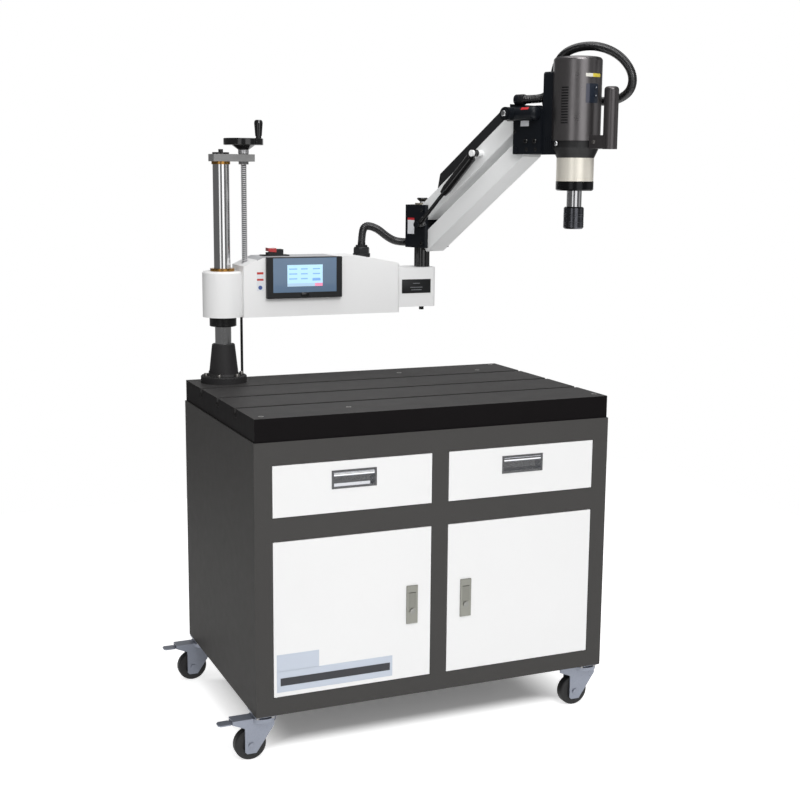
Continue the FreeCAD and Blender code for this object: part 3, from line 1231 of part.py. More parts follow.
# ---- parallel links, in the arm's frame ----------------------------------------------------------------
def box_link(below, above):
    """Box-section link along +X, its corners cut off where they pass the brackets."""
    start, end = -LINK_PAST_PIN, LINK_LENGTH + LINK_PAST_PIN
    outline = [
        (start, -below), (LINK_LENGTH + 2, -below), (end, LINK_CORNER - below - 2), (end, above),
        (-2, above), (start, above - LINK_CORNER),
    ]
    link = side_plate(outline, -LINK_HALF_WIDTH, LINK_HALF_WIDTH)
    link = link.makeFillet(LINK_EDGE_ROUND, [e for e in link.Edges if e.BoundBox.XLength > LINK_EDGE_MIN])
    room = block(2 * start, 2 * end, LINK_WALL - LINK_HALF_WIDTH, LINK_HALF_WIDTH - LINK_WALL,
                 LINK_WALL - below, above - LINK_WALL)
    bore = PIN_RADIUS + RUN_FIT
    holes = [cross_bar(bore, x, 0, -LINK_HALF_WIDTH, LINK_HALF_WIDTH) for x in (0, LINK_LENGTH)]
    return without(link, room, *holes)


def lower_link():
    """Box section from the elbow's lower pin to the head's lower pin."""
    return in_arm(lifted(box_link(LOWER_LINK_BELOW, LOWER_LINK_ABOVE), PIVOT_X, LOWER_PIVOT_Z, ARM_LIFT))


def upper_link():
    """Box section between the upper pins, with the gas spring's upper pin."""
    far = SPRING_OUT + SPRING_EYE_WIDTH / 2 + SEAT
    near = SPRING_OUT - SPRING_EYE_WIDTH / 2 - SEAT
    pin = [
        cross_bar(SPRING_PIN_RADIUS, SPRING_HEAD_AT, 0, -far - SPRING_PIN_HEAD, LINK_WALL - LINK_HALF_WIDTH),
        cross_bar(SPRING_PIN_HEAD_RADIUS, SPRING_HEAD_AT, 0, -far - SPRING_PIN_HEAD, -far),
        cross_bar(SPRING_PIN_HEAD_RADIUS, SPRING_HEAD_AT, 0, -near, -LINK_HALF_WIDTH),
    ]
    link = joined(box_link(UPPER_LINK_BELOW, UPPER_LINK_ABOVE), *pin)
    return in_arm(lifted(link, PIVOT_X, UPPER_PIVOT_Z, ARM_LIFT))


def link_cover():
    """Sheet duct along the top of the upper link."""
    low = UPPER_LINK_ABOVE
    high = low + LINK_COVER_HEIGHT
    start, end = LINK_COVER_START, LINK_COVER_START + LINK_COVER_LENGTH
    outer = side_plate([(start, low), (end, low), (end, high), (start + LINK_COVER_SLANT, high)],
                       -LINK_HALF_WIDTH, LINK_HALF_WIDTH)
    wall = LINK_COVER_WALL
    room = side_plate([(start + 2 * wall, low), (end - wall, low), (end - wall, high - wall),
                       (start + LINK_COVER_SLANT + wall, high - wall)],
                      -LINK_HALF_WIDTH + wall, LINK_HALF_WIDTH - wall)
    return in_arm(lifted(without(outer, room), PIVOT_X, UPPER_PIVOT_Z, ARM_LIFT))


# ---- gas spring, drawn along +X from its foot pin ------------------------------------------------------
def spring_rod():
    """Rod with the eye that turns on the foot pin."""
    low, high = -SPRING_OUT - SPRING_EYE_WIDTH / 2, -SPRING_OUT + SPRING_EYE_WIDTH / 2
    eye = cross_bar(SPRING_EYE_RADIUS, 0, 0, low, high)
    socket = side_bar(SPRING_ROD_RADIUS + 2, -SPRING_OUT, 0, 0, SPRING_SOCKET)
    rod = side_bar(SPRING_ROD_RADIUS, -SPRING_OUT, 0, 0, SPRING_ROD_LENGTH)
    bore = cross_bar(SPRING_PIN_RADIUS + RUN_FIT, 0, 0, low, high)
    return in_arm(lifted(without(joined(eye, socket, rod), bore), SPRING_FOOT_X, SPRING_FOOT_Z,
                         SPRING_LIFT))


def spring_cylinder():
    """Pressure tube with its guide collar and the eye that turns on the head pin."""
    low, high = -SPRING_OUT - SPRING_EYE_WIDTH / 2, -SPRING_OUT + SPRING_EYE_WIDTH / 2
    start, end = SPRING_CYLINDER_START, SPRING_CYLINDER_END
    body = side_bar(SPRING_CYLINDER_RADIUS, -SPRING_OUT, 0, start + SPRING_COLLAR, end)
    collar = Part.makeCone(SPRING_COLLAR_RADIUS, SPRING_CYLINDER_RADIUS, SPRING_COLLAR,
                           V(start, -SPRING_OUT, 0), X_AXIS)
    neck = side_bar(SPRING_ROD_RADIUS + 2, -SPRING_OUT, 0, end, SPRING_LENGTH)
    eye = cross_bar(SPRING_EYE_RADIUS, SPRING_LENGTH, 0, low, high)
    room = side_bar(SPRING_BORE_RADIUS, -SPRING_OUT, 0, start, end - SPRING_END_WALL)
    bore = cross_bar(SPRING_PIN_RADIUS + RUN_FIT, SPRING_LENGTH, 0, low, high)
    tube = without(joined(body, collar, neck, eye), room, bore)
    return in_arm(lifted(tube, SPRING_FOOT_X, SPRING_FOOT_Z, SPRING_LIFT))


# ---- head, in the arm's frame --------------------------------------------------------------------------
def head_bracket():
    """Head bracket: cheeks on the link pins, web, roof, side barrel and the motor's back plate."""
    inner = CHEEK_OUTER - CHEEK_THICK
    back, front = HEAD_PIVOT_X + HEAD_BACK, PLATE_X
    web = HEAD_PIVOT_X + HEAD_WEB_FROM
    upper = HEAD_PIVOT_Z + PIVOT_RISE
    outline = [
        (back, HEAD_BOTTOM), (front, HEAD_BOTTOM), (front, HEAD_TOP - HEAD_ROUND),
        (front - HEAD_ROUND, HEAD_TOP - 4),
        (back - HEAD_WEB_BEHIND, HEAD_TOP + 3), (back - HEAD_WEB_BEHIND, upper - 6), (back, upper - 18),
    ]
    cheeks = [side_plate(outline, inner, CHEEK_OUTER), side_plate(outline, -CHEEK_OUTER, -inner)]
    core = side_plate([(web, HEAD_BOTTOM), (front, HEAD_BOTTOM), (front, HEAD_TOP - HEAD_ROUND),
                       (front - HEAD_ROUND, HEAD_TOP - 4), (web, HEAD_ROOF)], -inner, inner)
    room = block(web + 6, front - 6, -inner + 6, inner - 6, HEAD_BOTTOM, HEAD_TOP - HEAD_ROUND - 8)
    plate = block(front, front + SADDLE_REACH, -PLATE_HALF_WIDTH, PLATE_HALF_WIDTH, PLATE_BOTTOM, PLATE_TOP)
    across = [edge for edge in plate.Edges if edge.BoundBox.XLength > 1]
    corners = [edge for edge in across if edge.BoundBox.ZMin > PLATE_TOP - 1]
    plate = plate.makeFillet(PLATE_ROUND, corners)
    plate = without(plate, motor_shape(RUN_FIT))
    pins = []
    for z in (HEAD_PIVOT_Z, upper):
        pins.append(cross_bar(PIN_RADIUS, HEAD_PIVOT_X, z, -CHEEK_OUTER, CHEEK_OUTER))
        pins.append(cross_bar(PIN_HEAD_RADIUS, HEAD_PIVOT_X, z, CHEEK_OUTER, CHEEK_OUTER + PIN_HEAD))
    pins.append(cross_bar(PIN_HEAD_RADIUS, HEAD_PIVOT_X, HEAD_PIVOT_Z, -CHEEK_OUTER - PIN_HEAD,
                          -CHEEK_OUTER))
    pins.append(cross_bar(BARREL_RADIUS, HEAD_PIVOT_X, upper, -BARREL_OUT, -CHEEK_OUTER))
    pins.append(cross_bar(BARREL_CAP_RADIUS, HEAD_PIVOT_X, upper, -BARREL_OUT - BARREL_CAP, -BARREL_OUT))
    sleeve = side_bar(HEAD_SLEEVE_RADIUS, -HEAD_SLEEVE_OUT, upper, HEAD_SLEEVE_START, HEAD_SLEEVE_END)
    rim = [edge for edge in sleeve.Edges if edge.BoundBox.XMin > HEAD_SLEEVE_END - 1]
    pins.append(sleeve.makeFillet(HEAD_SLEEVE_ROUND, rim))
    gland_x, gland_y, gland_z = HOSE_HEAD_ROUTE[0]
    gland = side_bar(HOSE_RADIUS + 3, gland_y, gland_z, gland_x - 16, gland_x)
    lug = block(gland_x - 16, gland_x - 2, inner, gland_y, gland_z - HOSE_RADIUS - 3,
                gland_z - HOSE_RADIUS + 1)
    lug_foot = block(gland_x - 16, gland_x - 2, inner, CHEEK_OUTER, HEAD_TOP - LUG_DROP,
                     gland_z - HOSE_RADIUS + 1)
    end_x, end_y, end_z = HOSE_HEAD_ROUTE[-1]
    socket = side_bar(HOSE_RADIUS + HOSE_SOCKET_WALL, end_y, end_z, end_x - HOSE_SOCKET_LENGTH, end_x)
    return in_arm(joined(*cheeks, without(core, room), plate, *pins, gland, lug, lug_foot, socket))


def motor_shape(slack):
    """Outside of the motor, its collar and cone, grown by a slack."""
    wide, collar = MOTOR_RADIUS + slack, MOTOR_COLLAR_RADIUS + slack
    profile = [
        (0, RING_TOP), (GEAR_RING_RADIUS + slack, RING_TOP), (collar, MOTOR_COLLAR_BOTTOM),
        (collar, MOTOR_BOTTOM), (wide, MOTOR_BOTTOM), (wide, MOTOR_TOP), (0, MOTOR_TOP),
    ]
    return turned(profile, MOTOR_X, 0)


def vent_slots():
    """Row of cooling slots to cut in the motor's side."""
    slots = []
    for count in range(VENTS):
        z = VENT_BOTTOM + count * VENT_PITCH
        slot = block(MOTOR_RADIUS - VENT_DEPTH, MOTOR_RADIUS + 1, -VENT_LENGTH / 2, VENT_LENGTH / 2, z,
                     z + VENT_HEIGHT)
        slot.rotate(V(0, 0, 0), Z_AXIS, VENT_SIDE_DEG)
        slot.translate(V(MOTOR_X, 0, 0))
        slots.append(slot)
    return slots


def motor_body():
    """Motor housing with its collar and cone."""
    body = motor_shape(0)
    body = body.makeFillet(MOTOR_ROUND, circle_edges(body, MOTOR_TOP, MOTOR_RADIUS))
    holes = [button_bar(z, BUTTON_RADIUS + RUN_FIT, BUTTON_SUNK + 1.5, 5) for z in BUTTON_HEIGHTS.values()]
    return in_arm(without(body, *holes, *vent_slots()))


def button_bar(z, radius, sunk, proud):
    """Bar set into the motor's side, pointing out at the buttons' angle."""
    turn = math.radians(BUTTON_SIDE_DEG)
    out = V(math.cos(turn), math.sin(turn), 0)
    start = V(MOTOR_X, 0, z) + out * (MOTOR_RADIUS - sunk)
    return Part.makeCylinder(radius, sunk + proud, start, out)


def button(name):
    """Push button on the motor."""
    return in_arm(button_bar(BUTTON_HEIGHTS[name], BUTTON_RADIUS, BUTTON_SUNK, BUTTON_PROUD))


def gearbox_ring():
    """Gearbox case below the motor, with its dark nose ring and spindle bearing bore."""
    profile = [
        (0, RING_TOP), (GEAR_RING_RADIUS, RING_TOP), (GEAR_RING_RADIUS, GEAR_RING_BOTTOM),
        (NOSE_RADIUS, GEAR_RING_BOTTOM), (NOSE_RADIUS, NOSE_BOTTOM + NOSE_ROUND),
        (NOSE_RADIUS - NOSE_ROUND, NOSE_BOTTOM),
        (0, NOSE_BOTTOM),
    ]
    bore = round_bar(SPINDLE_STUB_RADIUS + RUN_FIT, MOTOR_X, 0, NOSE_BOTTOM,
                     NOSE_BOTTOM + SPINDLE_STUB + SEAT)
    return in_arm(without(turned(profile, MOTOR_X, 0), bore))


def spindle():
    """Output spindle with the tap socket in its lower end."""
    shank = round_bar(SPINDLE_RADIUS, MOTOR_X, 0, CHUCK_BOTTOM, NOSE_BOTTOM - SEAT)
    stub = round_bar(SPINDLE_STUB_RADIUS, MOTOR_X, 0, NOSE_BOTTOM - SEAT, NOSE_BOTTOM + SPINDLE_STUB)
    socket = round_bar(TAP_BORE_RADIUS, MOTOR_X, 0, CHUCK_BOTTOM, CHUCK_BOTTOM + TAP_BORE_DEPTH)
    return in_arm(without(joined(shank, stub), socket))


def chuck_sleeve():
    """Quick-change sleeve that slides up the spindle to free the tap holder."""
    profile = [
        (SPINDLE_RADIUS + RUN_FIT, CHUCK_BOTTOM), (CHUCK_RADIUS - CHUCK_ROUND, CHUCK_BOTTOM),
        (CHUCK_RADIUS, CHUCK_BOTTOM + CHUCK_ROUND), (CHUCK_RADIUS, CHUCK_TOP - CHUCK_ROUND),
        (CHUCK_RADIUS - CHUCK_ROUND, CHUCK_TOP), (SPINDLE_RADIUS + RUN_FIT, CHUCK_TOP),
    ]
    return in_arm(turned(profile, MOTOR_X, 0))


def handle_grip():
    """Upright grip on the foot that clamps it to the motor's collar."""
    grip = round_bar(GRIP_RADIUS, GRIP_X, 0, GRIP_BOTTOM, GRIP_TOP)
    grip = grip.makeFillet(GRIP_ROUND, circle_edges(grip, GRIP_TOP, GRIP_RADIUS))
    foot = block(MOTOR_X, GRIP_X, -FOOT_HALF_WIDTH, FOOT_HALF_WIDTH, FOOT_BOTTOM, FOOT_TOP)
    body = without(joined(grip, foot), round_bar(MOTOR_RADIUS + RUN_FIT, MOTOR_X, 0, FOOT_BOTTOM - 5,
                                                 FOOT_TOP + 5))
    return in_arm(body)


# ---- cords ---------------------------------------------------------------------------------------------
def lead_coil():
    """Outer shape of the put-away turns of the mains lead."""
    ring = round_bar(COIL_OUTER, COIL_X, COIL_Y, 0, COIL_HEIGHT)
    (start_x, y, z), (end_x, _, _) = LEAD_LOWER_ROUTE[-2:]
    entry = side_bar(LEAD_RADIUS, y, z, start_x, end_x)
    return without(ring, entry, round_bar(COIL_INNER, COIL_X, COIL_Y, 0, COIL_HEIGHT))


def mains_plug():
    """Moulded plug lying on the coil."""
    low = COIL_HEIGHT
    x, y = COIL_X, COIL_Y - COIL_TURN_RADIUS
    body = block(x - PLUG_LENGTH / 2, x + PLUG_LENGTH / 2, y - PLUG_WIDTH / 2, y + PLUG_WIDTH / 2, low,
                 low + PLUG_HEIGHT)
    middle = low + PLUG_HEIGHT / 2
    pins = []
    for sign in (-1, 1):
        pin_y = y + sign * PLUG_PIN_PITCH / 2
        pins.append(block(x - PLUG_LENGTH / 2 - PLUG_PIN, x - PLUG_LENGTH / 2, pin_y - PLUG_PIN_THICK / 2,
                          pin_y + PLUG_PIN_THICK / 2, middle - PLUG_PIN_WIDTH / 2,
                          middle + PLUG_PIN_WIDTH / 2))
    return joined(body, *pins)


def nodes():
    """Every sub-part by its node name."""
    parts = {"table_top": table_top(), "cabinet_body": cabinet_body()}
    for name, side in SIDES.items():
        parts[f"drawer_{name}"] = drawer(side)
        parts[f"drawer_handle_{name}"] = drawer_handle(side)
        parts[f"door_{name}"] = door(side)
        parts[f"lock_paddle_{name}"] = lock_paddle(side)
    parts["caster_plates"] = caster_plates()
    for corner in CASTERS:
        parts[f"caster_fork_{corner}"] = caster_fork(corner)
        parts[f"caster_wheel_{corner}"] = caster_wheel(corner)
        if corner.endswith("left"):
            parts[f"brake_lever_{corner}"] = brake_lever(corner)
    makers = [
        base_flange, column_tube, top_bracket, top_bush, column_cap, lead_screw, handwheel, crank_grip,
        carriage_housing, control_box_cover, sleeve_bush, seal_ring, lead_nut, screen_frame, screen_glass,
        box_glands, switch_rocker, elbow_shaft, elbow_bracket, elbow_knob, lower_link, upper_link,
        link_cover,
        spring_rod, spring_cylinder, head_bracket, motor_body, gearbox_ring, spindle, chuck_sleeve,
        handle_grip,
        lead_coil, mains_plug,
    ]
    for maker in makers:
        parts[maker.__name__] = maker()
    for name in BUTTON_HEIGHTS:
        parts[name] = button(name)
    parts["hose_box"] = hose("hose_box", HOSE_BOX_ROUTE, HOSE_RADIUS)
    parts["hose_head"] = hose("hose_head", [arm_point(p) for p in HOSE_HEAD_ROUTE], HOSE_RADIUS)
    parts["lead_upper"] = hose("lead_upper", LEAD_UPPER_ROUTE, LEAD_RADIUS)
    parts["lead_lower"] = hose("lead_lower", LEAD_LOWER_ROUTE, LEAD_RADIUS)
    return parts


if __name__ == "__main__":
    os.makedirs("parts", exist_ok=True)
    for name, shape in nodes().items():
        if not shape.isValid():
            print("not valid:", name)
        shape.exportStep(f"parts/{name}.step")
        print(f"{name}: {len(shape.Solids)} solids, {shape.Volume / 1000:.1f} cm3")
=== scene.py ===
"""Arm tapping machine on a wheeled bench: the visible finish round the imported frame."""

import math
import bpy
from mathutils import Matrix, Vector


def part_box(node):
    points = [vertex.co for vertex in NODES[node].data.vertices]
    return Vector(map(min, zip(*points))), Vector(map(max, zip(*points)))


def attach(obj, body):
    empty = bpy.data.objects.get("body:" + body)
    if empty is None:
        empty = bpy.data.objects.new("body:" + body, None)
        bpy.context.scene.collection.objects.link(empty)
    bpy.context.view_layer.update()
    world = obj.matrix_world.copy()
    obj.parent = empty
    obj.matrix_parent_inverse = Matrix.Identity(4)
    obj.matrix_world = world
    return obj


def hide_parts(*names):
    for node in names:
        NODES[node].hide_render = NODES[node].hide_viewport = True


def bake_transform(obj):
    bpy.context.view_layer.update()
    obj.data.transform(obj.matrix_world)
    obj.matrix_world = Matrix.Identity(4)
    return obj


bl_info = {
    "name": "Arm Tapping Machine",
    "version": (1, 0, 0),
    "blender": (4, 5, 0),
    "location": "View3D > Sidebar > Tapping Machine",
    "description": "Dresses the packed arm tapping machine: cords, small fittings, labels and finishes",
    "category": "Object",
}

import bpy
from bpy.props import FloatProperty, FloatVectorProperty, IntProperty, PointerProperty, StringProperty
from mathutils import Matrix, Vector

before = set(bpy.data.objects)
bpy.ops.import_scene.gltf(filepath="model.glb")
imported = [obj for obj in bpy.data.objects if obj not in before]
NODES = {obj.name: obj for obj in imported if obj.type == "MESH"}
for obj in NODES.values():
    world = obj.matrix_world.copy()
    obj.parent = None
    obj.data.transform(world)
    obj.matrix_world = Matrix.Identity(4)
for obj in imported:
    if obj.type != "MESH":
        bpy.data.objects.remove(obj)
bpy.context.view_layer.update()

ELBOW = Vector((0.190, 0.2387, 0.0))
ARM_HEADING = math.radians(-68.0)
ARM_LIFT = math.radians(37.3)
LINK_START = (0.045, 0.0)
LOWER_PIVOT_Z = 1.152
UPPER_PIVOT_Z = 1.2386
FRONT_Y = -0.303
TABLE_Z = 0.800
COLUMN = Vector((-0.366, 0.2387, 0.0))
MOTOR_X = 0.507
MOTOR_RADIUS = 0.0582
BUTTON_SIDE = math.radians(-6.0)
COLLAR_BOLT_SIDE = math.radians(-106.0)
CHEEK_Y = -0.047
SCREW_AXIS = (-0.3068, 0.2387)
SCREW_RADIUS = 0.0075
THREAD_LOW, THREAD_TOP, SHANK_TOP = 1.040, 1.3573, 1.4083
CASTER_X = (-0.4585, 0.3965)
CASTER_PLATE_X = (-0.4275, 0.4275)
CASTER_Y = (-0.264, 0.264)
DOOR_LOCK_X = 0.070
BOX_END_DEPTH = 0.040
FLANGE_SCREW_RING = 0.047
HOSE_CUFF = 0.006
FLOOR_SIZE = 4.4
# Floor glow outside the bench and the lower glow that paints a shadow under it; the painted shadow's edge and
# its stretch along the bench.
FLOOR_GLOW, FLOOR_GLOW_PAINTED_SHADOW = 0.68, 0.13
SHADOW_EDGE = (0.17, 0.25)
BENCH_SHADOW_STRETCH = 0.55
LEAD_JOINT = (-0.284, 0.352, 0.930)

ARM = Matrix.Translation(ELBOW) @ Matrix.Rotation(ARM_HEADING, 4, "Z")


def link_frame(pivot_z):
    """Place of a link drawn along +X from its first pivot."""
    start = Matrix.Translation((LINK_START[0], LINK_START[1], pivot_z))
    return ARM @ start @ Matrix.Rotation(-ARM_LIFT, 4, "Y")


UPPER_LINK = link_frame(UPPER_PIVOT_Z)

# Routes in metres. The hose to the head arches a little closer over the motor than its solid does.
HOSE_BOX_ROUTE = [
    (0.0143, 0.2387, 1.146), (0.0143, 0.2387, 1.162), (0.021, 0.240, 1.199), (0.060, 0.245, 1.190),
    (0.094, 0.252, 1.165), (0.127, 0.260, 1.151), (0.158, 0.260, 1.151),
]
HOSE_HEAD_ROUTE = [
    (0.368, 0.074, 1.512), (0.394, 0.074, 1.512), (0.428, 0.078, 1.517), (0.470, 0.080, 1.513),
    (0.520, 0.080, 1.508), (0.574, 0.077, 1.511), (0.617, 0.066, 1.532), (0.630, 0.050, 1.570),
    (0.604, 0.032, 1.611), (0.552, 0.018, 1.634), (0.497, 0.010, 1.634), (0.449, 0.014, 1.620),
    (0.425, 0.018, 1.590), (0.423, 0.016, 1.557), (0.425, -0.012, 1.516), (0.400, -0.048, 1.512),
    (0.374, -0.048, 1.512),
]
LEAD_UPPER_ROUTE = [
    (-0.285, 0.3039, 1.000), (-0.285, 0.328, 1.000), (-0.285, 0.345, 0.986), (-0.284, 0.352, 0.966),
    LEAD_JOINT,
]
LEAD_LOWER_ROUTE = [
    LEAD_JOINT, (-0.284, 0.352, 0.800), (-0.283, 0.350, 0.700), (-0.284, 0.354, 0.605),
    (-0.288, 0.355, 0.515), (-0.290, 0.350, 0.425), (-0.285, 0.346, 0.335), (-0.274, 0.348, 0.245),
    (-0.259, 0.356, 0.160), (-0.240, 0.368, 0.090), (-0.214, 0.383, 0.038), (-0.178, 0.399, 0.010),
    (-0.138, 0.4055, 0.0036), (-0.1072, 0.4055, 0.0036),
]
COIL = Vector((-0.090, 0.365, 0.0))
COIL_OUTER_ROW = 0.0405
COIL_INNER_ROW = 0.0335
COIL_LAYER_Z = (0.0036, 0.0106, 0.0176)
COIL_STEPS = 16
PLUG_ENTRY = (-0.067, 0.328, 0.036)


# ---- mesh helpers --------------------------------------------------------------------------------------
def focus(piece):
    """Leaves one object selected and active."""
    bpy.ops.object.select_all(action="DESELECT")
    piece.select_set(True)
    bpy.context.view_layer.objects.active = piece


def settle(piece):
    """Puts an object's place, turn and scale into its mesh."""
    focus(piece)
    bpy.ops.object.transform_apply(location=True, rotation=True, scale=True)


def modify(piece, kind, **values):
    """Adds one modifier and applies it."""
    modifier = piece.modifiers.new(kind, kind)
    for name, value in values.items():
        setattr(modifier, name, value)
    focus(piece)
    bpy.ops.object.modifier_apply(modifier=modifier.name)


def soften(piece, width, segments=2, angle=40.0):
    """Rounds the sharp edges of a piece."""
    modify(piece, "BEVEL", width=width, segments=segments, limit_method="ANGLE",
           angle_limit=math.radians(angle))


def block(low, high):
    """Box between two corners."""
    low, high = Vector(low), Vector(high)
    bpy.ops.object.select_all(action="DESELECT")
    bpy.ops.mesh.primitive_cube_add(size=1.0, location=(low + high) / 2)
    piece = bpy.context.object
    piece.scale = high - low
    settle(piece)
    return piece


def bar(radius, start, end, sides=32):
    """Closed round bar between two points."""
    start, end = Vector(start), Vector(end)
    run = end - start
    bpy.ops.object.select_all(action="DESELECT")
    bpy.ops.mesh.primitive_cylinder_add(
        vertices=sides, radius=radius, depth=run.length, location=(start + end) / 2,
        rotation=run.to_track_quat("Z", "Y").to_euler(),
    )
    piece = bpy.context.object
    settle(piece)
    return piece


def turned(profile, centre=(0.0, 0.0), sides=48):
    """Closed turned piece, extruded and scaled up from its lowest ring. Profile of (radius, z)."""
    radius, z = profile[0]
    bpy.ops.object.select_all(action="DESELECT")
    bpy.ops.mesh.primitive_circle_add(
        vertices=sides, radius=radius, fill_type="NGON", location=(centre[0], centre[1], z))
    piece = bpy.context.object
    settle(piece)
    bpy.ops.object.mode_set(mode="EDIT")
    bpy.ops.mesh.select_all(action="SELECT")
    for next_radius, next_z in profile[1:]:
        bpy.ops.mesh.extrude_region_move(TRANSFORM_OT_translate={"value": (0, 0, next_z - z)})
        scale = next_radius / radius
        bpy.ops.transform.resize(value=(scale, scale, 1))
        radius, z = next_radius, next_z
    bpy.ops.mesh.select_all(action="SELECT")
    bpy.ops.mesh.normals_make_consistent(inside=False)
    bpy.ops.object.mode_set(mode="OBJECT")
    return piece


def profile_line(points):
    """Open line through points, grown from one vertex by extruding it."""
    bpy.ops.object.select_all(action="DESELECT")
    bpy.ops.mesh.primitive_plane_add(size=0.001, location=points[0])
    piece = bpy.context.object
    settle(piece)
    bpy.ops.object.mode_set(mode="EDIT")
    bpy.ops.mesh.select_all(action="SELECT")
    bpy.ops.mesh.merge(type="CENTER")
    for here, there in zip(points, points[1:]):
        step = Vector(there) - Vector(here)
        bpy.ops.mesh.extrude_region_move(TRANSFORM_OT_translate={"value": step})
    bpy.ops.object.mode_set(mode="OBJECT")
    return piece


def wind(piece, centre, pitch, turns):
    """Turns a profile line into a thread round an upright axis."""
    piece.data.transform(Matrix.Translation(-Vector(centre)))
    piece.location = centre
    modify(piece, "SCREW", axis="Z", screw_offset=pitch, iterations=turns, steps=24, render_steps=24,
           use_merge_vertices=True, merge_threshold=0.00001)
    settle(piece)
    bpy.ops.object.mode_set(mode="EDIT")
    bpy.ops.mesh.select_all(action="SELECT")
    bpy.ops.mesh.remove_doubles(threshold=0.00001)
    bpy.ops.mesh.fill_holes(sides=0)
    bpy.ops.mesh.select_all(action="SELECT")
    bpy.ops.mesh.normals_make_consistent(inside=False)
    bpy.ops.object.mode_set(mode="OBJECT")


def outward(angle):
    """Level direction at an angle round an upright axis."""
    return Vector((math.cos(angle), math.sin(angle), 0))


def aim(piece, at, direction):
    """Stands a piece modelled up +Z on a point, facing a direction."""
    turn = Vector(direction).to_track_quat("Z", "Y").to_matrix().to_4x4()
    piece.matrix_world = Matrix.Translation(Vector(at)) @ turn
    settle(piece)
    return piece


def joined(pieces):
    """One object out of several."""
    bpy.ops.object.select_all(action="DESELECT")
    for piece in pieces:
        piece.select_set(True)
    bpy.context.view_layer.objects.active = pieces[0]
    if len(pieces) > 1:
        bpy.ops.object.join()
    return bpy.context.object


def dress(piece, name, material, body=None, place=None, angle=35.0):
    """Names a piece, moves it into place, smooths it, paints it and makes it ride on a body."""
    piece.name = name
    piece.data.name = name
    if place is not None:
        piece.matrix_world = place @ piece.matrix_world
    settle(piece)
    bpy.ops.object.shade_smooth_by_angle(angle=math.radians(angle))
    piece.data.materials.clear()
    piece.data.materials.append(material)
    if body:
        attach(piece, body)
    return piece


def socket_screw(radius, height, at, direction):
    """Cap screw with a hexagon socket, standing on a face."""
    piece = turned([(radius, 0), (radius, height * 0.8), (radius * 0.88, height)], sides=24)
    bpy.ops.object.select_all(action="DESELECT")
    bpy.ops.mesh.primitive_cylinder_add(
        vertices=6, radius=radius * 0.52, depth=height, location=(0, 0, height))
    tool = bpy.context.object
    modifier = piece.modifiers.new("socket", "BOOLEAN")
    modifier.operation = "DIFFERENCE"
    modifier.object = tool
    focus(piece)
    bpy.ops.object.modifier_apply(modifier="socket")
    bpy.data.objects.remove(tool)
    return aim(piece, at, direction)


def copies(piece, places):
    """The piece and its copies, each with its own mesh, set off from the first place."""
    made = [piece]
    first = Vector(places[0])
    for place in places[1:]:
        twin = piece.copy()
        twin.data = piece.data.copy()
        bpy.context.collection.objects.link(twin)
        twin.location = Vector(place) - first
        settle(twin)
        made.append(twin)
    return made


def keep_sector(piece, start, end, inner):
    """Keeps the part of a turned shell between two angles as a thin curved plate."""
    focus(piece)
    bpy.ops.object.mode_set(mode="EDIT")
    for angle, sign in ((start, 1), (end, -1)):
        normal = (-math.sin(angle) * sign, math.cos(angle) * sign, 0)
        bpy.ops.mesh.select_all(action="SELECT")
        bpy.ops.mesh.bisect(plane_co=(0, 0, 0), plane_no=normal, clear_inner=True, use_fill=True)
    bpy.ops.object.mode_set(mode="OBJECT")
    tool = turned([(inner, -0.01 + min(v.co.z for v in piece.data.vertices)),
                   (inner, 0.01 + max(v.co.z for v in piece.data.vertices))], sides=128)
    modifier = piece.modifiers.new("hollow", "BOOLEAN")
    modifier.operation = "DIFFERENCE"
    modifier.object = tool
    focus(piece)
    bpy.ops.object.modifier_apply(modifier="hollow")
    bpy.data.objects.remove(tool)


# ---- cord helpers --------------------------------------------------------------------------------------
def spline_points(route, place=None, resolution=12):
    """Points of the smooth line that a route's control points give."""
    curve = bpy.data.curves.new("route", "CURVE")
    curve.dimensions = "3D"
    curve.resolution_u = resolution
    spline = curve.splines.new("NURBS")
    spline.points.add(len(route) - 1)
    for point, place_of in zip(spline.points, route):
        co = Vector(place_of)
        if place is not None:
            co = place @ co
        point.co = (*co, 1.0)
    spline.order_u = 3
    spline.use_endpoint_u = True
    holder = bpy.data.objects.new("route", curve)
    bpy.context.collection.objects.link(holder)
    bpy.context.view_layer.update()
    mesh = bpy.data.meshes.new_from_object(holder)
    points = [vertex.co.copy() for vertex in mesh.vertices]
    bpy.data.objects.remove(holder)
    bpy.data.meshes.remove(mesh)
    return points


def length_of(points):
    """Length of a line of points."""
    return sum((b - a).length for a, b in zip(points, points[1:]))


def resampled(points, step):
    """The same line with evenly spaced points."""
    total = length_of(points)
    count = max(2, round(total / step))
    wanted = [total * i / count for i in range(count + 1)]
    out, walked, i = [], 0.0, 0
    for target in wanted:
        while i < len(points) - 2 and walked + (points[i + 1] - points[i]).length < target:
            walked += (points[i + 1] - points[i]).length
            i += 1
        span = points[i + 1] - points[i]
        share = (target - walked) / span.length if span.length else 0.0
        out.append(points[i] + span * min(1.0, max(0.0, share)))
    return out


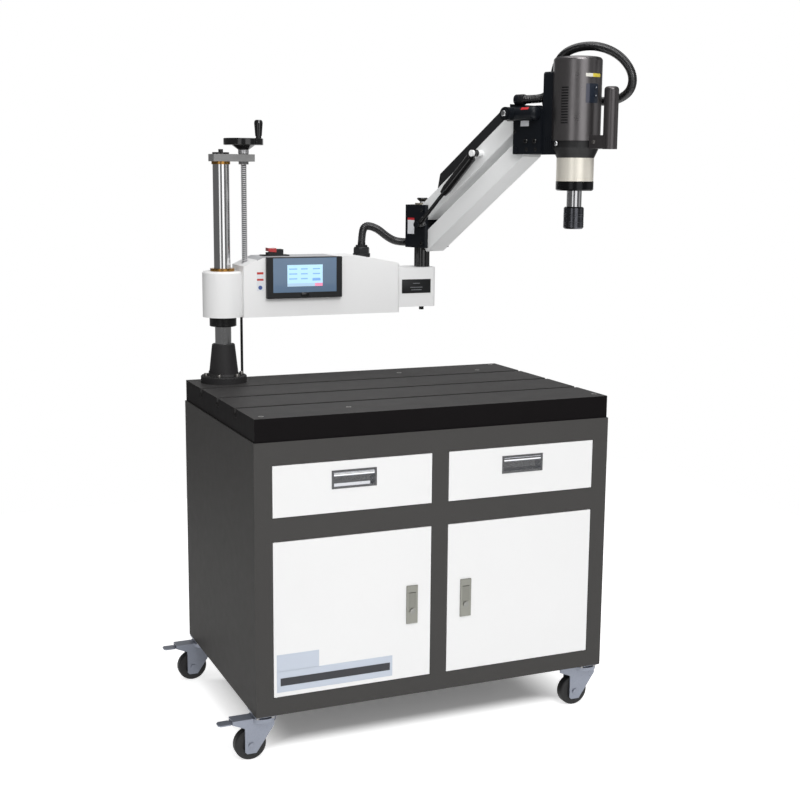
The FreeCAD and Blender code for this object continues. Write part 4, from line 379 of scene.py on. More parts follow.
def tube(name, points, radii, sides):
    """Closed tube along a line, with one radius for each point."""
    vertices, faces = [], []
    ahead = (points[1] - points[0]).normalized()
    side = ahead.orthogonal().normalized()
    for i, point in enumerate(points):
        before = points[max(0, i - 1)]
        after = points[min(len(points) - 1, i + 1)]
        direction = (after - before).normalized()
        side = (side - direction * side.dot(direction)).normalized()
        up = direction.cross(side)
        for k in range(sides):
            turn = 2 * math.pi * k / sides
            vertices.append(point + (side * math.cos(turn) + up * math.sin(turn)) * radii[i])
    for i in range(len(points) - 1):
        for k in range(sides):
            a, b = i * sides + k, i * sides + (k + 1) % sides
            faces.append((a, b, b + sides, a + sides))
    faces.append(tuple(reversed(range(sides))))
    faces.append(tuple((len(points) - 1) * sides + k for k in range(sides)))
    mesh = bpy.data.meshes.new(name)
    mesh.from_pydata(vertices, [], faces)
    uv = mesh.uv_layers.new(name="along")
    for polygon in mesh.polygons:
        for loop in polygon.loop_indices:
            vertex = mesh.loops[loop].vertex_index
            ring, k = divmod(vertex, sides)
            uv.data[loop].uv = (k / sides, ring / max(1, len(points) - 1))
    piece = bpy.data.objects.new(name, mesh)
    bpy.context.collection.objects.link(piece)
    return piece


def ribbed_hose(name, route, place, radius, groove, pitch, cuff):
    """Corrugated hose along a route, with plain cuffs at both ends."""
    line = spline_points(route, place)
    total = length_of(line)
    depths = (groove, 0.0, 0.0, groove)
    points = resampled(line, total / (round(total / pitch) * len(depths)))
    radii = []
    for i in range(len(points)):
        along = total * i / (len(points) - 1)
        at_end = along < cuff or along > total - cuff
        radii.append(radius if at_end else radius - depths[i % len(depths)])
    return tube(name, points, radii, 24), points, total


def coil_route():
    """Control points of the put-away turns: three layers, two rows, wound clockwise from the top."""
    rows = [
        (COIL_OUTER_ROW, COIL_INNER_ROW, 0), (COIL_INNER_ROW, COIL_INNER_ROW, 0),
        (COIL_INNER_ROW, COIL_OUTER_ROW, 1), (COIL_OUTER_ROW, COIL_OUTER_ROW, 1),
        (COIL_OUTER_ROW, COIL_INNER_ROW, 2), (COIL_INNER_ROW, COIL_INNER_ROW, 2),
    ]
    points = []
    for turn, (start_radius, end_radius, layer) in enumerate(rows):
        next_layer = rows[turn + 1][2] if turn + 1 < len(rows) else layer
        for i in range(COIL_STEPS):
            share = i / COIL_STEPS
            shift = min(1.0, max(0.0, (share - 0.74) / 0.20))
            radius = start_radius + (end_radius - start_radius) * shift
            z = COIL_LAYER_Z[layer] + (COIL_LAYER_Z[next_layer] - COIL_LAYER_Z[layer]) * shift
            angle = math.pi / 2 - 2 * math.pi * share
            points.append((COIL.x + radius * math.cos(angle), COIL.y + radius * math.sin(angle), z))
    return points


# ---- materials -----------------------------------------------------------------------------------------
def new_group(name, inputs, outputs):
    """Empty shader node group with its sockets."""
    group = bpy.data.node_groups.new(name, "ShaderNodeTree")
    for label, kind, value in inputs:
        socket = group.interface.new_socket(label, in_out="INPUT", socket_type=kind)
        socket.default_value = value
    for label, kind in outputs:
        group.interface.new_socket(label, in_out="OUTPUT", socket_type=kind)
    return group, group.nodes.new("NodeGroupInput"), group.nodes.new("NodeGroupOutput")


def math_node(tree, operation, first, second, clamp=False):
    """One math node fed by sockets or numbers."""
    node = tree.nodes.new("ShaderNodeMath")
    node.operation = operation
    node.use_clamp = clamp
    for index, value in enumerate((first, second)):
        if isinstance(value, (int, float)):
            node.inputs[index].default_value = value
        else:
            tree.links.new(value, node.inputs[index])
    return node.outputs[0]


def ranged(tree, value, source, target):
    """A value carried smoothly from one range to another."""
    node = tree.nodes.new("ShaderNodeMapRange")
    node.interpolation_type = "SMOOTHSTEP"
    tree.links.new(value, node.inputs["Value"])
    for label, number in zip(("From Min", "From Max", "To Min", "To Max"), (*source, *target)):
        node.inputs[label].default_value = number
    return node.outputs["Result"]


def mixed(tree, mask, first, second):
    """One value outside a mask and another inside it."""
    node = tree.nodes.new("ShaderNodeMix")
    node.data_type = "FLOAT"
    tree.links.new(mask, node.inputs[0])
    for index, value in ((2, first), (3, second)):
        if isinstance(value, (int, float)):
            node.inputs[index].default_value = value
        else:
            tree.links.new(value, node.inputs[index])
    return node.outputs[0]


def painted(tree, mask, colour, hex_code):
    """A colour outside a mask and a display colour inside it."""
    node = tree.nodes.new("ShaderNodeMix")
    node.data_type = "RGBA"
    tree.links.new(mask, node.inputs[0])
    tree.links.new(colour, node.inputs[6])
    node.inputs[7].default_value = tint(hex_code)
    return node.outputs[2]


def noise(tree, vector, scale, detail=2.0, roughness=0.5):
    """Noise texture fed by a vector. Scale is a number or a socket."""
    node = tree.nodes.new("ShaderNodeTexNoise")
    node.inputs["Detail"].default_value = detail
    node.inputs["Roughness"].default_value = roughness
    if isinstance(scale, (int, float)):
        node.inputs["Scale"].default_value = scale
    else:
        tree.links.new(scale, node.inputs["Scale"])
    tree.links.new(vector, node.inputs["Vector"])
    return node.outputs["Fac"]


def shaded_colour(tree, colour, factor, amount):
    """A colour made lighter and darker round itself by a 0 to 1 factor."""
    shift = math_node(tree, "MULTIPLY", math_node(tree, "SUBTRACT", factor, 0.5), amount)
    gain = math_node(tree, "ADD", shift, 1.0)
    node = tree.nodes.new("ShaderNodeVectorMath")
    node.operation = "SCALE"
    tree.links.new(colour, node.inputs[0])
    tree.links.new(gain, node.inputs["Scale"])
    return node.outputs[0]


def bumped(tree, height, strength, distance):
    """Normal from a height."""
    node = tree.nodes.new("ShaderNodeBump")
    node.inputs["Distance"].default_value = distance
    if isinstance(strength, (int, float)):
        node.inputs["Strength"].default_value = strength
    else:
        tree.links.new(strength, node.inputs["Strength"])
    tree.links.new(height, node.inputs["Height"])
    return node.outputs["Normal"]


def coat_group():
    """Powder coat and moulded plastic: fine peel, faint cloudiness and uneven gloss."""
    group, given, out = new_group(
        "Coated Surface",
        [("Vector", "NodeSocketVector", (0, 0, 0)), ("Color", "NodeSocketColor", (0.5, 0.5, 0.5, 1)),
         ("Roughness", "NodeSocketFloat", 0.4), ("Grain Scale", "NodeSocketFloat", 900.0),
         ("Grain", "NodeSocketFloat", 0.2), ("Cloud", "NodeSocketFloat", 0.06)],
        [("Color", "NodeSocketColor"), ("Roughness", "NodeSocketFloat"), ("Normal", "NodeSocketVector")],
    )
    vector = given.outputs["Vector"]
    grain = noise(group, vector, given.outputs["Grain Scale"], 3.0)
    cloud = noise(group, vector, 6.0, 4.0)
    wipe = noise(group, vector, 38.0, 5.0, 0.62)
    colour = shaded_colour(group, given.outputs["Color"], cloud, given.outputs["Cloud"])
    colour = shaded_colour(group, colour, grain, math_node(group, "MULTIPLY", given.outputs["Grain"], 0.25))
    uneven = math_node(group, "MULTIPLY", math_node(group, "SUBTRACT", wipe, 0.5), 0.16)
    roughness = math_node(group, "ADD", given.outputs["Roughness"], uneven, clamp=True)
    group.links.new(colour, out.inputs["Color"])
    group.links.new(roughness, out.inputs["Roughness"])
    group.links.new(bumped(group, grain, given.outputs["Grain"], 0.0004), out.inputs["Normal"])
    return group


def metal_group():
    """Worked metal: tool marks stretched along one direction, and handling marks."""
    group, given, out = new_group(
        "Worked Metal",
        [("Vector", "NodeSocketVector", (0, 0, 0)), ("Color", "NodeSocketColor", (0.6, 0.6, 0.6, 1)),
         ("Roughness", "NodeSocketFloat", 0.3), ("Mark Scale", "NodeSocketVector", (40, 40, 2000)),
         ("Marks", "NodeSocketFloat", 0.15), ("Stain", "NodeSocketFloat", 0.1)],
        [("Color", "NodeSocketColor"), ("Roughness", "NodeSocketFloat"), ("Normal", "NodeSocketVector")],
    )
    stretch = group.nodes.new("ShaderNodeVectorMath")
    stretch.operation = "MULTIPLY"
    group.links.new(given.outputs["Vector"], stretch.inputs[0])
    group.links.new(given.outputs["Mark Scale"], stretch.inputs[1])
    marks = noise(group, stretch.outputs[0], 1.0, 4.0, 0.6)
    stain = noise(group, given.outputs["Vector"], 22.0, 5.0, 0.6)
    colour = shaded_colour(group, given.outputs["Color"], stain, given.outputs["Stain"])
    colour = shaded_colour(group, colour, marks, given.outputs["Marks"])
    uneven = math_node(group, "MULTIPLY", math_node(group, "SUBTRACT", marks, 0.5), given.outputs["Marks"])
    uneven = math_node(group, "ADD", uneven, math_node(
        group, "MULTIPLY", math_node(group, "SUBTRACT", stain, 0.5), given.outputs["Stain"]))
    roughness = math_node(group, "ADD", given.outputs["Roughness"], uneven, clamp=True)
    group.links.new(colour, out.inputs["Color"])
    group.links.new(roughness, out.inputs["Roughness"])
    group.links.new(bumped(group, marks, given.outputs["Marks"], 0.0002), out.inputs["Normal"])
    return group


def region_group():
    """Mask that is 1 inside an upright box."""
    group, given, out = new_group(
        "Region", [("Vector", "NodeSocketVector", (0, 0, 0)), ("Low", "NodeSocketVector", (0, 0, 0)),
                   ("High", "NodeSocketVector", (1, 1, 1))],
        [("Mask", "NodeSocketFloat")],
    )
    split = []
    for name in ("Vector", "Low", "High"):
        node = group.nodes.new("ShaderNodeSeparateXYZ")
        group.links.new(given.outputs[name], node.inputs[0])
        split.append(node.outputs)
    mask = None
    for axis in range(3):
        above = math_node(group, "GREATER_THAN", split[0][axis], split[1][axis])
        below = math_node(group, "LESS_THAN", split[0][axis], split[2][axis])
        inside = math_node(group, "MULTIPLY", above, below)
        mask = inside if mask is None else math_node(group, "MULTIPLY", mask, inside)
    group.links.new(mask, out.inputs["Mask"])
    return group


GROUPS = {}
MATERIALS = {}


def linear(value):
    """Scene-linear value of one display channel."""
    return value / 12.92 if value <= 0.04045 else ((value + 0.055) / 1.055) ** 2.4


def tint(hex_code):
    """Scene-linear colour of a display colour."""
    channels = [int(hex_code[i : i + 2], 16) / 255 for i in (0, 2, 4)]
    return (*[linear(c) for c in channels], 1.0)


def place_group(tree, name, **values):
    """A node that uses one of the shared groups."""
    node = tree.nodes.new("ShaderNodeGroup")
    node.node_tree = GROUPS[name]
    for label, value in values.items():
        socket = node.inputs[label.replace("_", " ")]
        if isinstance(value, bpy.types.NodeSocket):
            tree.links.new(value, socket)
        else:
            socket.default_value = value
    return node


def finish_material(name, kind, colour, roughness, regions=(), metallic=0.0, coat=0.0, specular=0.5,
                    emission=0.0, **values):
    """Material with a shared surface group, and other colours inside boxes of object space.

    regions: (low, high, hex colour, metallic, roughness) in metres.
    """
    material = bpy.data.materials.new(name)
    material.use_nodes = True
    tree = material.node_tree
    shader = tree.nodes["Principled BSDF"]
    where = tree.nodes.new("ShaderNodeTexCoord").outputs["Object"]
    base = tree.nodes.new("ShaderNodeRGB")
    base.outputs[0].default_value = tint(colour)
    colour_socket = base.outputs[0]
    metal_socket = rough_socket = None
    for low, high, hex_code, region_metal, region_rough in regions:
        mask = place_group(tree, "Region", Vector=where, Low=low, High=high).outputs["Mask"]
        colour_socket = painted(tree, mask, colour_socket, hex_code)
        metal_socket = mixed(tree, mask, metallic if metal_socket is None else metal_socket, region_metal)
        rough_socket = mixed(tree, mask, roughness if rough_socket is None else rough_socket, region_rough)
    surface = place_group(tree, kind, Vector=where, Color=colour_socket,
                          Roughness=roughness if rough_socket is None else rough_socket, **values)
    tree.links.new(surface.outputs["Color"], shader.inputs["Base Color"])
    tree.links.new(surface.outputs["Roughness"], shader.inputs["Roughness"])
    tree.links.new(surface.outputs["Normal"], shader.inputs["Normal"])
    if metal_socket is None:
        shader.inputs["Metallic"].default_value = metallic
    else:
        tree.links.new(metal_socket, shader.inputs["Metallic"])
    shader.inputs["Coat Weight"].default_value = coat
    shader.inputs["Coat Roughness"].default_value = 0.12
    shader.inputs["Specular IOR Level"].default_value = specular
    if emission:
        tree.links.new(surface.outputs["Color"], shader.inputs["Emission Color"])
        shader.inputs["Emission Strength"].default_value = emission
    MATERIALS[name] = material
    return material


def make_materials(paint):
    """All finishes of the machine."""
    GROUPS["Coated Surface"] = coat_group()
    GROUPS["Worked Metal"] = metal_group()
    GROUPS["Region"] = region_group()
    coated, metal = "Coated Surface", "Worked Metal"
    door_locks = []
    for x in (-DOOR_LOCK_X, DOOR_LOCK_X):
        door_locks.append(((x - 0.0143, -0.31, 0.2865), (x + 0.0143, -0.2955, 0.3795), "8f8f88", 0.85, 0.42))
        door_locks.append(((x - 0.0068, -0.3115, 0.3100), (x + 0.0068, -0.3062, 0.3240), "8a8a86", 0.9, 0.30))
        door_locks.append(((x - 0.0090, -0.3055, 0.3230), (x + 0.0090, -0.2950, 0.3640), "2a2a28", 0.4, 0.5))
    # The table's front and left sides are painted darker than its top: painted shade on the faces turned from
    # the light.
    table_side_shade = [((-0.5, -0.31, 0.74), (0.5, -0.2995, 0.7995), "151314", 0.0, 0.5),
                   ((-0.46, -0.31, 0.74), (-0.4495, 0.31, 0.7995), "151314", 0.0, 0.5)]
    finish_material("Blackened Table", metal, "3f3e3e", 0.52, table_side_shade, metallic=0.0, specular=0.05,
                    Mark_Scale=(6, 900, 6), Marks=0.16, Stain=0.14)
    finish_material("Bench Powder Coat", coated, paint.bench, 0.55, specular=0.03, Grain_Scale=700.0,
                    Grain=0.2)
    finish_material("Panel Powder Coat", coated, paint.panel, 0.42, door_locks, Grain_Scale=800.0, Grain=0.12,
                    Cloud=0.02)
    finish_material("Drawer Powder Coat", coated, paint.panel, 0.42, Grain_Scale=800.0, Grain=0.12,
                    Cloud=0.02)
    finish_material("Tyre Black", coated, "101011", 0.62, caster_regions(), Grain_Scale=500.0, Grain=0.5)
    finish_material("Cast Black", coated, "292829", 0.55, specular=0.3, Grain_Scale=420.0, Grain=0.5,
                    Cloud=0.12)
    finish_material("Carriage White", coated, paint.carriage, 0.36, Grain_Scale=800.0, Grain=0.1, Cloud=0.02)
    finish_material("Link Grey", coated, paint.link, 0.38, Grain_Scale=800.0, Grain=0.12, Cloud=0.03)
    finish_material("Motor Metallic", coated, paint.motor, 0.30, motor_regions(), metallic=0.92,
                    Grain_Scale=1400.0, Grain=0.12, Cloud=0.03)
    finish_material("Gearbox Satin", metal, "f0ebdf", 0.35, gearbox_regions(), metallic=0.45,
                    Mark_Scale=(30, 30, 1200), Marks=0.08, Stain=0.04)
    finish_material("Grip Black", coated, "5d5a5b", 0.34, metallic=0.85, Grain_Scale=900.0, Grain=0.1)
    finish_material("Knob Black", coated, "131314", 0.15, knob_regions(), coat=0.4, Grain_Scale=300.0,
                    Grain=0.02)
    finish_material("Label White", coated, "e4e6ea", 0.4, label_regions(), Grain_Scale=900.0, Grain=0.05)
    for name, colour, roughness, metallic, scale, marks, stain in (
            ("Handle Chrome", "dcdde0", 0.12, 1.0, (30, 30, 300), 0.02, 0.03),
            ("Lock Grey", "85857e", 0.42, 0.7, (60, 60, 600), 0.1, 0.1),
            ("Zinc Plate", "8b909c", 0.38, 0.5, (300, 300, 300), 0.3, 0.35),
            ("Ground Steel", "c3c4c6", 0.2, 1.0, (60, 60, 600), 0.05, 0.05),
            ("Column Chrome", "dededf", 0.09, 1.0, (30, 30, 400), 0.015, 0.03),
            ("Thread Crest", "dedee0", 0.36, 0.6, (60, 60, 600), 0.05, 0.05),
            # The dark thread root colour is painted shade in the lifting screw's grooves.
            ("Thread Root Shade", "1f1e1e", 0.5, 0.5, (200, 200, 200), 0.1, 0.2),
            ("Screw Steel", "8d8b88", 0.32, 1.0, (200, 200, 200), 0.3, 0.3),
            ("Turned Bronze", "b58645", 0.26, 1.0, (60, 60, 1500), 0.16, 0.2),
            ("Spindle Steel", "c4c4c6", 0.14, 1.0, (40, 40, 600), 0.04, 0.05),
            ("Chuck Steel", "56575c", 0.2, 1.0, (60, 60, 1200), 0.2, 0.12)):
        finish_material(name, metal, colour, roughness, metallic=metallic, Mark_Scale=scale, Marks=marks,
                        Stain=stain)
    for name, colour, roughness, scale, grain, coat, specular in (
            ("Bracket Grey", "828282", 0.4, 600.0, 0.15, 0.0, 0.3),
            ("Lid Grey", "b4b5b8", 0.42, 600.0, 0.2, 0.0, 0.4),
            ("Gloss Black", "131314", 0.15, 300.0, 0.02, 0.4, 0.5),
            ("Blue Black", "14171c", 0.36, 600.0, 0.12, 0.0, 0.2),
            ("Cover Black", "222325", 0.42, 600.0, 0.15, 0.0, 0.35),
            ("Moulded Black", "1b1c1e", 0.44, 900.0, 0.2, 0.0, 0.4),
            ("Hose Black", "111113", 0.26, 900.0, 0.1, 0.3, 0.5),
            ("Lead Black", "151516", 0.45, 900.0, 0.15, 0.0, 0.4),
            ("Rocker Red", "b3262a", 0.3, 400.0, 0.1, 0.3, 0.5)):
        finish_material(name, coated, colour, roughness, coat=coat, specular=specular, Grain_Scale=scale,
                        Grain=grain)
    for name, colour, roughness, grain in (
            ("Key Navy", "1d2430", 0.34, 0.15), ("Keypad Edge", "4a4c58", 0.34, 0.10),
            ("Key White", "d5d8de", 0.35, 0.10), ("Label Pale", "dad9d0", 0.40, 0.05),
            ("Label Red", "c02228", 0.40, 0.05), ("Label Blue", "3c5799", 0.40, 0.05),
            ("Label Yellow", "d8c548", 0.40, 0.05), ("Size Plate", "c4ccd9", 0.36, 0.08),
            ("Size Plate Navy", "20222a", 0.36, 0.08), ("Name Plate", "17181a", 0.30, 0.10),
            ("Plate Lines", "8f9296", 0.40, 0.05)):
        finish_material(name, coated, colour, roughness, Grain_Scale=900.0, Grain=grain)
    display_material()
    glass_material()


def caster_regions():
    """Grey hubs of the four wheels."""
    regions = []
    for x in CASTER_X:
        for y in CASTER_Y:
            regions.append(((x - 0.0145, y - 0.02, 0.023), (x + 0.0145, y + 0.02, 0.052), "3a3b3e", 0.1, 0.5))
    return regions


def motor_regions():
    """Darker collar and cone under the motor housing, and its darker top."""
    return [((-1, -1, 1.37), (1, 1, 1.4128), "1f1f20", 0.25, 0.42),
            ((-1, -1, 1.6055), (1, 1, 1.62), "2a292a", 0.2, 0.5)]


def gearbox_regions():
    """Black nose ring under the gearbox."""
    return [((-1, -1, 1.29), (1, 1, 1.3177), "17181a", 0.6, 0.22)]


def knob_regions():
    """Brass-toned washer and polished stem under the elbow's knob."""
    return [((-1, -1, 1.2515), (1, 1, 1.2562), "a8a08e", 0.7, 0.3),
            ((-1, -1, 1.2562), (1, 1, 1.2601), "d5d6d8", 1.0, 0.12)]


def label_regions():
    """Red bars on the narrow label."""
    bars = []
    for low, high in ((1.0778, 1.0835), (1.0618, 1.0670)):
        bars.append(((-0.2905, 0.18, low), (-0.2735, 0.1880, high), "c23b34", 0.0, 0.4))
    return bars


def display_material():
    """Lit screen page: pale cyan ground, faint rows of fields and a foot bar."""
    material = bpy.data.materials.new("Display Page")
    material.use_nodes = True
    tree = material.node_tree
    shader = tree.nodes["Principled BSDF"]
    where = tree.nodes.new("ShaderNodeTexCoord").outputs["Object"]
    base = tree.nodes.new("ShaderNodeRGB")
    base.outputs[0].default_value = tint("b4dcf0")
    colour = base.outputs[0]
    fields = [((-0.2135, 1.0460), (-0.118, 1.0540), "a9c7dd")]
    for row in range(3):
        for column, width in ((0, 0.022), (1, 0.018), (2, 0.020)):
            x = -0.2090 + column * 0.032
            z = 1.0890 - row * 0.0125
            fields.append(((x, z), (x + width, z + 0.0030), "7fb2d8"))
    fields += [((-0.146, 1.0600), (-0.124, 1.0660), "7aa7e0"), ((-0.139, 1.0460), (-0.118, 1.0540), "e58fb0")]
    for (x0, z0), (x1, z1), hex_code in fields:
        mask = place_group(tree, "Region", Vector=where, Low=(x0, 0, z0), High=(x1, 1, z1)).outputs["Mask"]
        colour = painted(tree, mask, colour, hex_code)
    tree.links.new(colour, shader.inputs["Base Color"])
    tree.links.new(colour, shader.inputs["Emission Color"])
    shader.inputs["Emission Strength"].default_value = 0.36
    shader.inputs["Roughness"].default_value = 0.25
    MATERIALS["Display Page"] = material


def glass_material():
    """Blue-grey window with a soft sheen."""
    material = bpy.data.materials.new("Screen Window")
    material.use_nodes = True
    tree = material.node_tree
    shader = tree.nodes["Principled BSDF"]
    where = tree.nodes.new("ShaderNodeTexCoord").outputs["Object"]
    surface = place_group(tree, "Coated Surface", Vector=where, Color=tint("5f7893"), Roughness=0.16,
                          Grain_Scale=500.0, Grain=0.03, Cloud=0.25)
    tree.links.new(surface.outputs["Color"], shader.inputs["Base Color"])
    tree.links.new(surface.outputs["Roughness"], shader.inputs["Roughness"])
    tree.links.new(surface.outputs["Normal"], shader.inputs["Normal"])
    shader.inputs["Coat Weight"].default_value = 0.5
    MATERIALS["Screen Window"] = material


NODE_FINISH = {
    "table_top": "Blackened Table", "cabinet_body": "Bench Powder Coat", "drawer_left": "Drawer Powder Coat",
    "drawer_right": "Drawer Powder Coat", "drawer_handle_left": "Handle Chrome",
    "drawer_handle_right": "Handle Chrome", "door_left": "Panel Powder Coat",
    "door_right": "Panel Powder Coat",
    "lock_paddle_left": "Lock Grey", "lock_paddle_right": "Lock Grey", "caster_plates": "Zinc Plate",
    "base_flange": "Cast Black", "column_tube": "Column Chrome", "top_bracket": "Bracket Grey",
    "top_bush": "Turned Bronze", "column_cap": "Gloss Black", "handwheel": "Gloss Black",
    "crank_grip": "Gloss Black", "carriage_housing": "Carriage White", "control_box_cover": "Lid Grey",
    "sleeve_bush": "Turned Bronze", "seal_ring": "Gloss Black", "lead_nut": "Turned Bronze",
    "screen_frame": "Moulded Black", "screen_glass": "Screen Window", "box_glands": "Moulded Black",
    "switch_rocker": "Rocker Red", "elbow_shaft": "Gloss Black", "elbow_bracket": "Blue Black",
    "elbow_knob": "Knob Black", "lower_link": "Link Grey", "upper_link": "Link Grey",
    "link_cover": "Cover Black", "spring_rod": "Gloss Black", "spring_cylinder": "Gloss Black",
    "head_bracket": "Blue Black", "motor_body": "Motor Metallic", "gearbox_ring": "Gearbox Satin",
    "spindle": "Spindle Steel", "chuck_sleeve": "Chuck Steel", "handle_grip": "Grip Black",
    "button_forward": "Key Navy", "button_reverse": "Key Navy", "mains_plug": "Moulded Black",
}


# ---- settings ------------------------------------------------------------------------------------------
class TappingMachinePaint(bpy.types.PropertyGroup):
    """Colours of the coated parts."""

    bench: StringProperty(name="Bench", description="Display colour of the bench frame", default="4b4a49")
    panel: StringProperty(name="Panels", description="Display colour of drawers and doors", default="f0f0f0")
    carriage: StringProperty(name="Carriage", description="Display colour of the carriage", default="f0f0f0")
    link: StringProperty(name="Links", description="Display colour of the two links", default="f3f4f4")
    motor: StringProperty(name="Motor", description="Display colour of the motor housing", default="787576")


class TappingMachineStage(bpy.types.PropertyGroup):
    """Camera and lights."""

    azimuth: FloatProperty(name="Camera Azimuth", description="Turn of the camera round the machine",
                           default=math.radians(-23.367), subtype="ANGLE")
    elevation: FloatProperty(name="Camera Elevation", description="Height angle of the camera",
                             default=math.radians(9.696), subtype="ANGLE")
    roll: FloatProperty(name="Camera Roll", description="Roll of the camera", default=math.radians(0.488),
                        subtype="ANGLE")
    position: FloatVectorProperty(name="Camera Position", description="Place of the camera",
                                  default=(-1.27465, -3.01064, 1.32702), subtype="TRANSLATION", unit="LENGTH")
    lens: FloatProperty(name="Lens", description="Focal length for a 36 mm sensor, in millimetres",
                        default=59.02)
    room_light: FloatProperty(name="Room Light", description="Strength of the even light", default=0.38,
                              min=0.0)
    room_gloss: FloatProperty(name="Room Gloss", description="Strength of the room in reflections",
                              default=0.14, min=0.0)
    key_power: FloatProperty(name="Key Power", description="Power of the main soft light", default=80.0,
                             min=0.0, unit="POWER")


class TappingMachineCords(bpy.types.PropertyGroup):
    """Sizes of the hoses and the mains lead."""

    hose_radius: FloatProperty(name="Hose Radius", description="Outer radius of the corrugated hoses",
                               default=0.0105, unit="LENGTH")
    rib_pitch: FloatProperty(name="Rib Pitch", description="Distance between two ribs of a hose",
                             default=0.0034, unit="LENGTH")
    rib_depth: FloatProperty(name="Rib Depth", description="Depth of the grooves between ribs",
                             default=0.0011, unit="LENGTH")
    lead_radius: FloatProperty(name="Lead Radius", description="Radius of the mains lead", default=0.0035,
                               unit="LENGTH")


class TappingMachineFittings(bpy.types.PropertyGroup):
    """Sizes of screws, threads and plates."""

    screw_pitch: FloatProperty(name="Thread Pitch", description="Pitch of the lifting screw", default=0.005,
                               unit="LENGTH")
    thread_depth: FloatProperty(name="Thread Depth", description="Depth of the lifting screw's thread",
                                default=0.0016, unit="LENGTH")
    flange_screws: IntProperty(name="Flange Screws", description="Screws in the column's flange", default=6)
    plate_thickness: FloatProperty(name="Plate Thickness", description="Thickness of labels and plates",
                                   default=0.0006, unit="LENGTH")


# ---- operators -----------------------------------------------------------------------------------------
class StageOperator(bpy.types.Operator):
    """Floor, lights and camera"""

    bl_idname = "tapping.stage"
    bl_label = "Stage"

    def execute(self, context):
        """Sets up the camera, the even room light, the lamps and the pale floor, whose glow is painted lower
        under the bench as a shadow.
        """
        stage = context.scene.tapping_stage
        turn, lift = stage.azimuth, stage.elevation
        back = Vector((math.sin(turn) * math.cos(lift), -math.cos(turn) * math.cos(lift), math.sin(lift)))
        right = Vector((math.cos(turn), math.sin(turn), 0))
        up = back.cross(right)
        c, s = math.cos(stage.roll), math.sin(stage.roll)
        right, up = right * c + up * s, up * c - right * s
        bpy.ops.object.camera_add()
        camera = context.object
        camera.name = "Camera"
        camera.matrix_world = Matrix((right, up, back)).transposed().to_4x4()
        camera.location = Vector(stage.position)
        camera.data.sensor_width = 36.0
        camera.data.lens = stage.lens
        camera.data.clip_end = 50.0
        context.scene.camera = camera

        world = bpy.data.worlds.new("Studio")
        context.scene.world = world
        world.use_nodes = True
        tree = world.node_tree
        background = tree.nodes["Background"]
        background.inputs["Color"].default_value = (1, 1, 1, 1)
        rays = tree.nodes.new("ShaderNodeLightPath")
        heading = tree.nodes.new("ShaderNodeVectorMath")
        heading.operation = "DOT_PRODUCT"
        tree.links.new(tree.nodes.new("ShaderNodeTexCoord").outputs["Generated"], heading.inputs[0])
        heading.inputs[1].default_value = -back
        wall = ranged(tree, heading.outputs["Value"], (0.82, 0.94), (stage.room_gloss, 1.0))
        strength = mixed(tree, rays.outputs["Is Glossy Ray"], stage.room_light, wall)
        seen = math_node(tree, "MAXIMUM", rays.outputs["Is Camera Ray"], rays.outputs["Is Transmission Ray"])
        tree.links.new(mixed(tree, seen, strength, 1.0), background.inputs["Strength"])

        lamps = [
            ("Key", (-0.3, -3.2, 3.6), (2.0, 1.6), stage.key_power),
            ("Front", (0.35, -3.6, 1.6), (2.0, 1.8), stage.key_power * 0.18),
            ("Side", (-2.25, -2.3, 1.6), (1.1, 1.8), stage.key_power * 0.085),
            ("Right", (2.7, -1.3, 1.7), (1.6, 1.9), stage.key_power * 0.04),
            ("Top", (0.2, -0.2, 3.4), (2.4, 2.0), stage.key_power * 0.45),
        ]
        target = Vector((0, 0, 0.95))
        for name, place, size, power in lamps:
            bpy.ops.object.light_add(type="AREA", location=place)
            lamp = context.object
            lamp.name = name
            lamp.data.shape = "RECTANGLE"
            lamp.data.size, lamp.data.size_y = size
            lamp.data.energy = power
            lamp.rotation_euler = (target - Vector(place)).to_track_quat("-Z", "Y").to_euler()

        bpy.ops.object.select_all(action="DESELECT")
        bpy.ops.mesh.primitive_plane_add(size=FLOOR_SIZE, location=(0, 0, -0.0004))
        floor = context.object
        floor.name = "floor"
        settle(floor)
        material = bpy.data.materials.new("Pale Floor")
        material.use_nodes = True
        tree = material.node_tree
        shader = tree.nodes["Principled BSDF"]
        shader.inputs["Base Color"].default_value = (0.9, 0.9, 0.9, 1)
        shader.inputs["Roughness"].default_value = 0.7
        shader.inputs["Specular IOR Level"].default_value = 0.2
        rays = tree.nodes.new("ShaderNodeLightPath")
        seen = math_node(tree, "MAXIMUM", rays.outputs["Is Camera Ray"], rays.outputs["Is Glossy Ray"])
        across = tree.nodes.new("ShaderNodeVectorMath")
        across.operation = "MULTIPLY"
        tree.links.new(tree.nodes.new("ShaderNodeTexCoord").outputs["Object"], across.inputs[0])
        across.inputs[1].default_value = (BENCH_SHADOW_STRETCH, 1.0, 1.0)
        reach = tree.nodes.new("ShaderNodeVectorMath")
        reach.operation = "ABSOLUTE"
        tree.links.new(across.outputs["Vector"], reach.inputs[0])
        sides = tree.nodes.new("ShaderNodeSeparateXYZ")
        tree.links.new(reach.outputs["Vector"], sides.inputs[0])
        reach = math_node(tree, "MAXIMUM", sides.outputs["X"], sides.outputs["Y"])
        # The glow drops inside the bench's footprint: a painted shadow under the bench.
        glow = ranged(tree, reach, SHADOW_EDGE, (FLOOR_GLOW_PAINTED_SHADOW, FLOOR_GLOW))
        shader.inputs["Emission Color"].default_value = (1, 1, 1, 1)
        tree.links.new(math_node(tree, "MULTIPLY", seen, glow), shader.inputs["Emission Strength"])
        floor.data.materials.append(material)
        return {"FINISHED"}


